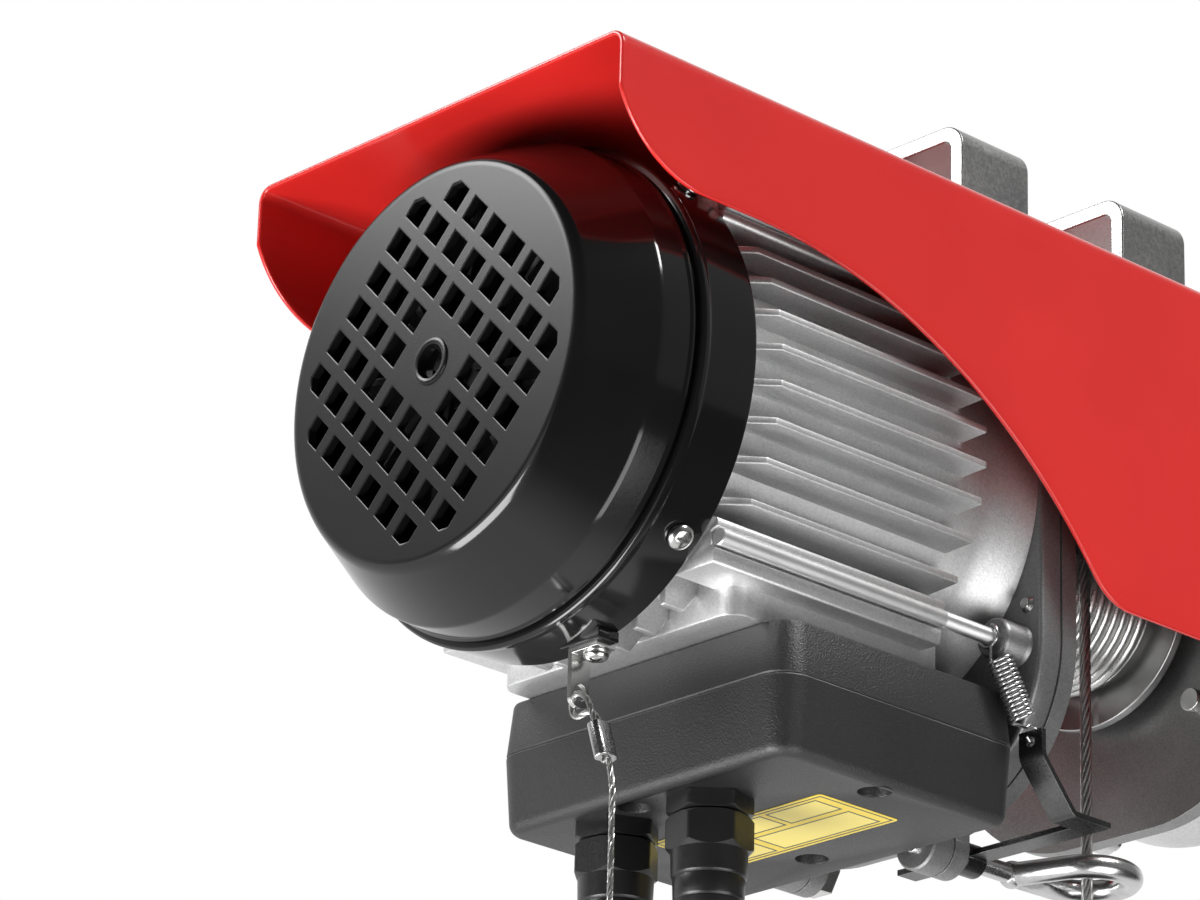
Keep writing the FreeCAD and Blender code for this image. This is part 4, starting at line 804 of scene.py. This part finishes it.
def makeFlange(look):
    bm = bmesh.new()
    x0 = look["x0"]
    addPrism(bm, look["plate"], "x", x0, x0 + look["thick"], look["round"], 4, 28)
    for profile, spots, steps in (("ear", look["ears"], 40), ("boss", rodSpots, 48), ("hub", [(0, 0)], 48)):
        for y, z in spots:
            spinAbout(bm, [(x0 + x, r) for x, r in look[profile]], "x", (0, y, z), steps)
    addPiece("motorFlange", bm, "darkCast", "motor_flange", 28)


makeFlange(flange)
print("flange")


# Tie rods, threaded where they enter the flange

tieRods = dict(x0=57.5, x1=182, radius=2.5, chamfer=0.3, threadFrom=147, pitch=0.8, depth=0.32, runOut=1,
               steps=24)


def makeTieRods(look):
    bm = bmesh.new()
    x0, x1, r, chamfer = look["x0"], look["x1"], look["radius"], look["chamfer"]
    start, pitch = look["threadFrom"], look["pitch"]
    outline = [(x0, 0), (x0, r - chamfer), (x0 + chamfer, r), (start, r)]
    for n in range(int((x1 - start - look["runOut"]) / pitch)):
        x = start + n * pitch
        outline += [(x + 0.4 * pitch, r - look["depth"]), (x + pitch, r)]
    outline += [(x1, r - 0.4), (x1, 0)]
    for y, z in rodSpots:
        spinAbout(bm, outline, "x", (0, y, z), look["steps"])
    addPiece("tieRods", bm, "brightRod", "tie_rods", 40)


makeTieRods(tieRods)
print("tie rods")


# Rain hood: bent sheet, its sides swept up to the front

hood = dict(
    x0=-2.5, x1=341.5, half=77.5, top=76.5, sheet=1.5, round=0.55, bend=5,
    edge=36.4, frontZ=58.5, frontMid=(7.3, 44.8), frontEnd=28,
    arcX=50, arcR=180, arcEnd=190, low=-38, lowMid=(7, 1.9), lowX=206,
    mirror=476, slices=150, crowd=0.35, rows=10, across=(-50, -25, 0, 25, 50),
)


def bowlHeight(x, a, b, c):
    # the lower side of the circle through three points
    (ax, ay), (bx, by), (cx, cy) = a, b, c
    aa, bb, cc = ax * ax + ay * ay, bx * bx + by * by, cx * cx + cy * cy
    d = 2 * (ax * (by - cy) + bx * (cy - ay) + cx * (ay - by))
    ux = (aa * (by - cy) + bb * (cy - ay) + cc * (ay - by)) / d
    uy = (aa * (cx - bx) + bb * (ax - cx) + cc * (bx - ax)) / d
    return uy - sqrt(max(0, (ax - ux) ** 2 + (ay - uy) ** 2 - (x - ux) ** 2))


def sweepHeight(x, look):
    return look["edge"] - look["arcR"] + sqrt(look["arcR"] ** 2 - (x - look["arcX"]) ** 2)


def hoodEdge(x, look):
    # height of the side's lower edge; the back half mirrors the front
    if x > look["mirror"] / 2:
        x = look["mirror"] - x
    if x < look["frontEnd"]:
        start, end = (look["x0"], look["frontZ"]), (look["frontEnd"], look["edge"])
        return bowlHeight(x, start, look["frontMid"], end)
    if x < look["arcX"]:
        return look["edge"]
    if x < look["arcEnd"]:
        return sweepHeight(x, look)
    if x < look["lowX"]:
        start, end = (look["arcEnd"], sweepHeight(look["arcEnd"], look)), (look["lowX"], look["low"])
        middle = (look["arcEnd"] + look["lowMid"][0], look["low"] + look["lowMid"][1])
        return bowlHeight(x, start, middle, end)
    return look["low"]


def makeHood(look):
    half, top, bend, rows = look["half"], look["top"], look["bend"], look["rows"]
    arc = [radians(a) for a in range(0, 91, 10)]
    corner = [(-half + bend - bend * cos(a), top - bend + bend * sin(a)) for a in arc]
    upper = corner + [(y, top) for y in look["across"]]
    last = 2 * rows + 2 * len(corner) + len(look["across"]) - 1
    bm = bmesh.new()
    bmesh.ops.create_grid(bm, x_segments=look["slices"], y_segments=last, size=0.5)
    for vert in bm.verts:
        # the slices stand closer together at the front
        u = vert.co.x + 0.5
        x = look["x0"] + (look["x1"] - look["x0"]) * (look["crowd"] * u * u + (1 - look["crowd"]) * u)
        v = round((vert.co.y + 0.5) * last)
        k = min(v, last - v)
        if k < rows:
            low = hoodEdge(x, look)
            y, z = -half, low + (top - bend - low) * k / rows
        else:
            y, z = upper[k - rows]
        vert.co = (x, y if k == v else -y, z)
    piece = addPiece("rainHood", bm, "hoodRed", "rain_hood", 40)
    wall = piece.modifiers.new("sheet", "SOLIDIFY")
    wall.thickness = look["sheet"] * mm
    wall.offset = -1
    wall.use_even_offset = True
    addEdgeRound(piece, look["round"], 3, 60)


makeHood(hood)
print("rain hood")


# Terminal box: two drafted halves with a parting line, recessed screws in the lower one

box = dict(
    x0=81.3, x1=176.3, half=59.6, top=-66.5, part=-82.8, foot=-106.1, draft=1.8,
    corners=(6, 9.5, 9.5, 6), cornerSteps=8, footR=3.5, recess=4.8, deep=7,
    screws=((126.3, -50.6), (126.3, 50.6), (159.3, 6.2), (91.2, 9.6)),
    glands=((100, -12, 17), (100, 26, 36)), glandHole=9.1, steps=36,
    # heights from the parting line or the top, and how far each is set in
    coverRim=((-0.05, 2.5), (-0.05, 0.55), (-0.2, 0.25), (-0.55, 0.06)),
    baseRim=((0.05, 2.5), (0.05, 0.6), (0.25, 0.3), (0.6, 0.12)),
    baseTop=((-1.2, 1.674), (-0.4, 2.05), (0, 2.9), (0, 20)),
)


def boxLoop(bm, z, inset, look):
    half, steps = look["half"] - inset, look["cornerSteps"]
    points = []
    for n, (sx, sy) in enumerate(((1, 1), (-1, 1), (-1, -1), (1, -1))):
        radius = max(look["corners"][n] - inset, 0.5)
        cx = look["x1"] - inset - radius if sx > 0 else look["x0"] + inset + radius
        cy = sy * (half - radius)
        for k in range(steps + 1):
            a = radians(90 * (n + k / steps))
            points.append((cx + radius * cos(a), cy + radius * sin(a), z))
    return edgeLoop(bm, points)


def boxShell(levels, look):
    # a skin through the box's outline at each level; the last loop is left open
    bm = bmesh.new()
    loops = [boxLoop(bm, z, inset, look) for z, inset in levels]
    bridgeLoops(bm, loops)
    return bm, loops[-1]


def makeBox(look):
    foot, part, top, r, deep = look["foot"], look["part"], look["top"], look["footR"], look["deep"]
    levels = [(part + z, inset) for z, inset in look["coverRim"]]
    wall = look["draft"] * (part - foot - r) / (part - foot)
    for a in range(0, 91, 15):
        t = radians(a)
        levels.append((foot + r - r * sin(t), wall + r - r * cos(t)))
    bm, under = boxShell(levels, look)
    for x, y in look["screws"]:
        steps = ((0, 0.5), (0.15, 0.15), (0.5, 0), (deep, -0.1), (deep, -2.4))
        rims = [circleLoop(bm, (x, y, foot + dz), look["recess"] + dr, look["steps"]) for dz, dr in steps]
        bridgeLoops(bm, rims)
        under += rims[0]
    for x, y, turn in look["glands"]:
        under += circleLoop(bm, (x, y, foot), look["glandHole"], look["steps"])
    fillFlat(bm, under, (0, 0, -1))
    addPiece("boxCover", bm, "texturedBlack", "box_cover", 30)
    levels = [(part + z, inset) for z, inset in look["baseRim"]]
    levels += [(top + z, inset) for z, inset in look["baseTop"]]
    bm, lid = boxShell(levels, look)
    bmesh.ops.holes_fill(bm, edges=lid, sides=0)
    addPiece("boxBase", bm, "texturedBlack", "box_base", 30)


def makeLabel(look):
    bm = bmesh.new()
    corners, foot = rectangle(*look["sheet"], look["corner"]), box["foot"]
    addPrism(bm, corners, "z", foot - look["thick"], foot, look["round"], 1)
    addPiece("boxLabel", bm, "stickerYellow", "box_label")


makeBox(box)
makeLabel(sticker)
print("terminal box")


# Cable glands: chamfered hexagons and a ribbed dome nut

glands = dict(
    flats=22, round=0.6, bodyH=5.3, split=0.6, nutH=10.2, tube=9, bore=6.6,
    tubeZ=(-13.3, 8.5), tubeSteps=40,
    # radius at the foot, chamfer and radius above it, then the same down from the top
    bodyTrim=(11, 0.9, 12.4, 12, 0.3, 12.4), nutTrim=(11, 1.6, 12.8, 11.4, 0.9, 12.5),
    # down from the dome nut's top, below its hexagon
    dome=((9.6, 4.8), (9.6, 11), (10.4, 10.95), (17.2, 10.75), (17.6, 10.5), (17.9, 10.15), (18.2, 10.3),
          (23.6, 10.1), (24, 9.9), (24.4, 9.5), (24.7, 9.65), (28.6, 9.4), (29.5, 9), (30, 8.2),
          (30, 5.4), (29.4, 4.8)),
)


def hexNut(look, low, high, turn, trim):
    part = bmesh.new()
    radius = look["flats"] / sqrt(3)
    made = bmesh.ops.create_circle(part, cap_ends=True, segments=6, radius=radius)["verts"]
    # create_circle puts its first corner on the y axis
    bmesh.ops.rotate(part, verts=made, cent=origin, matrix=turned(turn - 90, "Z"))
    bmesh.ops.translate(part, verts=made, vec=(0, 0, low))
    pushFaces(part, (0, 0, high - low))
    upright = [e for e in part.edges if abs(e.verts[0].co.z - e.verts[1].co.z) > 1]
    roundEdges(part, upright, look["round"], 3)
    # a spun shape takes the corners off
    lowR, rise, lowOut, highR, drop, highOut = trim
    limit = [(low, 0), (low, lowR), (low + rise, lowOut), (high - drop, highOut), (high, highR), (high, 0)]
    return carve(part, spunSolid(limit), "INTERSECT")


def makeGlands(look):
    bodies, domes = bmesh.new(), bmesh.new()
    foot, bore, tube = box["foot"], look["bore"], look["tube"]
    low = foot - look["bodyH"]
    top = low - look["split"]
    tubeLow, tubeHigh = (foot + z for z in look["tubeZ"])
    sleeve = [(tubeLow, bore), (tubeLow, tube), (tubeHigh, tube), (tubeHigh, bore)]
    for x, y, turn in box["glands"]:
        at = Matrix.Translation((x, y, 0))
        addPart(bodies, hexNut(look, low, foot, turn, look["bodyTrim"]), at)
        addPart(bodies, spunSolid(sleeve, look["tubeSteps"]), at)
        addPart(domes, hexNut(look, top - look["nutH"], top, turn, look["nutTrim"]), at)
        addPart(domes, spunSolid([(top - z, r) for z, r in look["dome"]]), at)
    addPiece("glandBodies", bodies, "satinBlack", "gland_bodies", 30)
    addPiece("glandDomeNuts", domes, "satinBlack", "gland_dome_nuts", 30)


makeGlands(glands)
print("cable glands")


# Wires and ropes

def curveMesh(kind, lines, **settings):
    # the mesh that Blender makes of a curve through, or near, these points
    curve = bpy.data.curves.new("line", "CURVE")
    curve.dimensions = "3D"
    for name, value in settings.items():
        setattr(curve, name, value)
    for line in lines:
        spline = curve.splines.new(kind)
        spline.points.add(len(line) - 1)
        for point, at in zip(spline.points, line):
            point.co = (*at, 1)
        if kind == "NURBS":
            spline.order_u = 3
            spline.use_endpoint_u = True
        else:
            spline.use_smooth = True
    holder = addObject("line", curve)
    mesh = bpy.data.meshes.new_from_object(holder.evaluated_get(bpy.context.evaluated_depsgraph_get()))
    bpy.data.objects.remove(holder)
    bpy.data.curves.remove(curve)
    return mesh


def tubeMesh(lines, radius, sides):
    return curveMesh("POLY", lines, bevel_depth=radius, bevel_resolution=sides, use_fill_caps=True)


def routeLine(points):
    # the smooth line that a spline with these control points follows
    mesh = curveMesh("NURBS", [points], resolution_u=24)
    line = [v.co.copy() for v in mesh.vertices]
    bpy.data.meshes.remove(mesh)
    return line


def evenLine(line, step):
    # the same line with points a step apart
    spaced, left = [line[0]], step
    for a, b in zip(line, line[1:]):
        run = (b - a).length
        while run >= left:
            spaced.append(a.lerp(b, left / run))
            a, run, left = spaced[-1], (b - spaced[-1]).length, step
        left -= run
    spaced.append(line[-1])
    return spaced


def layStrands(line, look):
    # each strand winds round the line once in every lay
    across = (line[1] - line[0]).orthogonal().normalized()
    away = look["radius"] - look["strand"]
    strands = [[] for n in range(look["strands"])]
    travelled = 0
    for k, point in enumerate(line):
        ahead = (line[min(k + 1, len(line) - 1)] - line[max(k - 1, 0)]).normalized()
        across = (across - ahead * across.dot(ahead)).normalized()
        beside = ahead.cross(across)
        if k:
            travelled += (point - line[k - 1]).length
        for n, strand in enumerate(strands):
            turn = 2 * pi * (travelled / look["lay"] + n / look["strands"])
            strand.append(point + (across * cos(turn) + beside * sin(turn)) * away)
    return strands


def strandMesh(line, look):
    # a core with the strands laid round it
    bm = bmesh.new()
    for lines in ([line], layStrands(line, look)):
        mesh = tubeMesh(lines, look["strand"], look["sides"])
        bm.from_mesh(mesh)
        bpy.data.meshes.remove(mesh)
    return meshFrom(bm, "strands")


def coilLine(start, end, across, beside, radius, turns, perTurn):
    count = turns * perTurn
    line = []
    for k in range(count + 1):
        turn = 2 * pi * k / perTurn
        line.append(start.lerp(end, k / count) + (across * cos(turn) + beside * sin(turn)) * radius)
    return line


# Strain wire: six strands laid round its own line, a pressed ferrule at each loop

strainWire = dict(
    radius=0.9, strand=0.33, lay=11, strands=6, sides=1, step=0.7, length=0.189,
    route=(
        (51, -20.52, -108.99), (51, -14.5, -90.5), (51.7, -9.4, -86), (52.3, -4.8, -86),
        (52.8, -5.4, -93.6), (53, -14.5, -90.5), (53, -21.5, -112), (53, -22, -121),
        (53, -22, -176), (59, -22, -186), (52, -22, -197), (45, -22, -186),
        (51, -22, -176), (51, -22, -159),
    ),
)
ferrule = dict(
    wide=3.4, thick=2.2, corner=1.8, round=0.4,
    spans=(((52, -16.6, -96.95), (52, -20.1, -107.7)), ((52, -22, -161), (52, -22, -170))),
)


def makeFerrules(look):
    bm = bmesh.new()
    wide, thick = look["wide"], look["thick"]
    corners = rectangle((-wide, wide), (-thick, thick), look["corner"])
    for start, end in look["spans"]:
        run = Vector(end) - Vector(start)
        part = pushedOutline(corners, "z", 0, run.length, 8)
        roundEdges(part, sharpEdges(part, 60), look["round"], 3)
        addPart(bm, part, Matrix.Translation(start) @ run.to_track_quat("Z", "Y").to_matrix().to_4x4())
    return addPiece("wireFerrules", bm, "softAluminium", "wire_ferrules", 40)


def makeStrainWire(look, ferrules):
    line = evenLine(routeLine(look["route"]), look["step"])
    mesh = strandMesh(line, look)
    wire = addWire("strainWire", mesh, "frame", "strandSteel", "strain_wire")


makeStrainWire(strainWire, makeFerrules(ferrule))
print("strain wire")


# Limit spring: wound wire with a hook over the rod and one in the arm

limitSpring = dict(
    wire=0.5, sides=3, coil=3.5, turns=14, perTurn=24,
    top=(165.9, -61.5, -58.5), foot=(172.9, -64.35, -76),
    rodHook=dict(centre=(166.4, -56.8, -50.5), radius=3.5, side=(0, 1, 0), angles=(40, -250), steps=16),
    tabHook=dict(centre=(175.5, -65.4, -79.9), radius=2.6, side=(1, 0, 0), angles=(150, -150), steps=14),
)


def hookLine(look):
    start, end = look["angles"]
    line = []
    for k in range(look["steps"] + 1):
        a = radians(start + (end - start) * k / look["steps"])
        away = Vector(look["side"]) * cos(a) + Vector((0, 0, 1)) * sin(a)
        line.append(Vector(look["centre"]) + away * look["radius"])
    return line


def makeSpring(look):
    top, foot = Vector(look["top"]), Vector(look["foot"])
    ahead = (foot - top).normalized()
    across = (Vector((0, 1, 0)) - ahead * ahead.y).normalized()
    coil = coilLine(top, foot, across, ahead.cross(across), look["coil"], look["turns"], look["perTurn"])
    line = hookLine(look["rodHook"]) + coil + hookLine(look["tabHook"])
    mesh = tubeMesh([line], look["wire"], look["sides"])
    spring = addWire("limitSpringWire", mesh, None, "polished", "limit_spring")
    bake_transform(spring)


makeSpring(limitSpring)
print("limit spring")


# Rope on the drum, as its real turns, and the fall to the hook

rope = dict(
    radius=1.8, strand=0.66, lay=24, strands=6, sides=2,
    drum=25, x0=201.4, x1=274.6, topEnd=235.6, pitch=3.66, layer=1.75, snug=0.98,
    windingSides=3, perTurn=36,
    fallY=-30.5, fallFrom=-0.5, fallPoints=124, fallTop=-6, fallFoot=-112,
)


def windRope(x, step, turns, radius, look):
    start, end = Vector((x, 0, 0)), Vector((x + step * turns, 0, 0))
    return coilLine(start, end, Vector((0, -1, 0)), Vector((0, 0, 1)), radius, turns, look["perTurn"])


def makeRope(look):
    r, pitch, x0, x1 = look["radius"], look["pitch"], look["x0"], look["x1"]
    lower = windRope(x1 - r, -pitch, int((x1 - x0) / pitch), look["drum"] + r, look)
    turns = int((look["topEnd"] - x0 - r) / pitch)
    upper = windRope(x0 + 2 * r, pitch, turns, look["drum"] + r * (1 + look["layer"]), look)
    mesh = tubeMesh([lower, upper], r * look["snug"], look["windingSides"])
    addWire("ropeWinding", mesh, "drum", "strandSteel", "rope_winding")
    fall = [Vector((seat["x"], look["fallY"], look["fallFrom"] - k)) for k in range(look["fallPoints"])]
    piece = addWire("ropeFall", strandMesh(fall, look), None, "strandSteel", "rope_fall")
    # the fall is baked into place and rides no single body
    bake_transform(piece)


makeRope(rope)
print("rope")


# The remaining pieces keep the solids' shapes, with rounded edges (in millimetres) and their finishes

dressed = (
    ("frame", "darkCast", "cast_aluminium", {"drum_frame": 0.8}),
    ("frame", "silverLacquer", "cast_aluminium",
     {"gearbox_case": 0.8, "gearbox_cover": 0.8, "end_shield": 0}),
    ("frame", "flatBar", "strap_steel", {"hanger_strap_motor": 0.7, "hanger_strap_gear": 0.7}),
    ("frame", "zinc", "zinc_steel",
     {"hanger_bolts": 0.4, "anchor_bolt": 0.4, "frame_screws": 0.25, "gearbox_screws": 0.25}),
    ("frame", "darkZinc", "zinc_steel", {"box_screws": 0.2}),
    ("frame", "zinc", "zinc_steel", {"wire_tab": 0.3}),
    ("frame", "satinBlack", "textured_black_plastic", {"limit_switch": 0.5}),
    ("hook_block", "rubber", "stop_rubber", {"rope_stop": 0}),
    ("hook_block", "hookBlack", "hook_steel", {"hook_head": 0.4}),
    ("hook", "hookBlack", "hook_steel", {"hook": 0}),
    ("hook", "zinc", "zinc_steel", {"hook_nut": 0.3, "latch_pin": 0.2}),
    ("latch", "zinc", "zinc_steel", {"hook_latch": 0.25}),
    ("limit_lever", "polished", "bright_steel", {"limit_shaft": 0.4, "rope_eye": 0}),
    ("limit_lever", "darkZinc", "zinc_steel", {"limit_arm": 0.35}),
    ("drum", "flatBar", "drum_steel", {"rope_drum": 0.4}),
    ("drum", "zinc", "zinc_steel", {"rope_clamp": 0.4}),
    ("rotor", "satinBlack", "fan_plastic", {"cooling_fan": 0.3}),
)
for body, finish, slot, members in dressed:
    for node, width in members.items():
        dressNode(node, body, finish, width)

# Pieces inside the castings keep their solids and take a finish only
plain = {
    "polished": ("shaft_bearings", "drum_bearings", "counter_bearings", "motor_shaft", "motor_pinion",
                 "countershaft", "counter_gear", "drum_gear"),
    "coreSteel": ("stator_core", "brake_magnet", "rotor_core", "brake_disc", "brake_armature"),
    "copper": ("stator_windings",),
    "satinBlack": ("gland_lock_nuts",),
    "rubber": ("gland_seals",),
    "palePlastic": ("capacitor", "terminal_block", "switch_plunger"),
}
for finish, members in plain.items():
    for node in members:
        mesh = nodes[node].data
        mesh.materials.clear()
        mesh.materials.append(materials[finish])
print("dressed solids:", sum(len(row[3]) for row in dressed))
print("plain solids:", sum(len(row) for row in plain.values()))
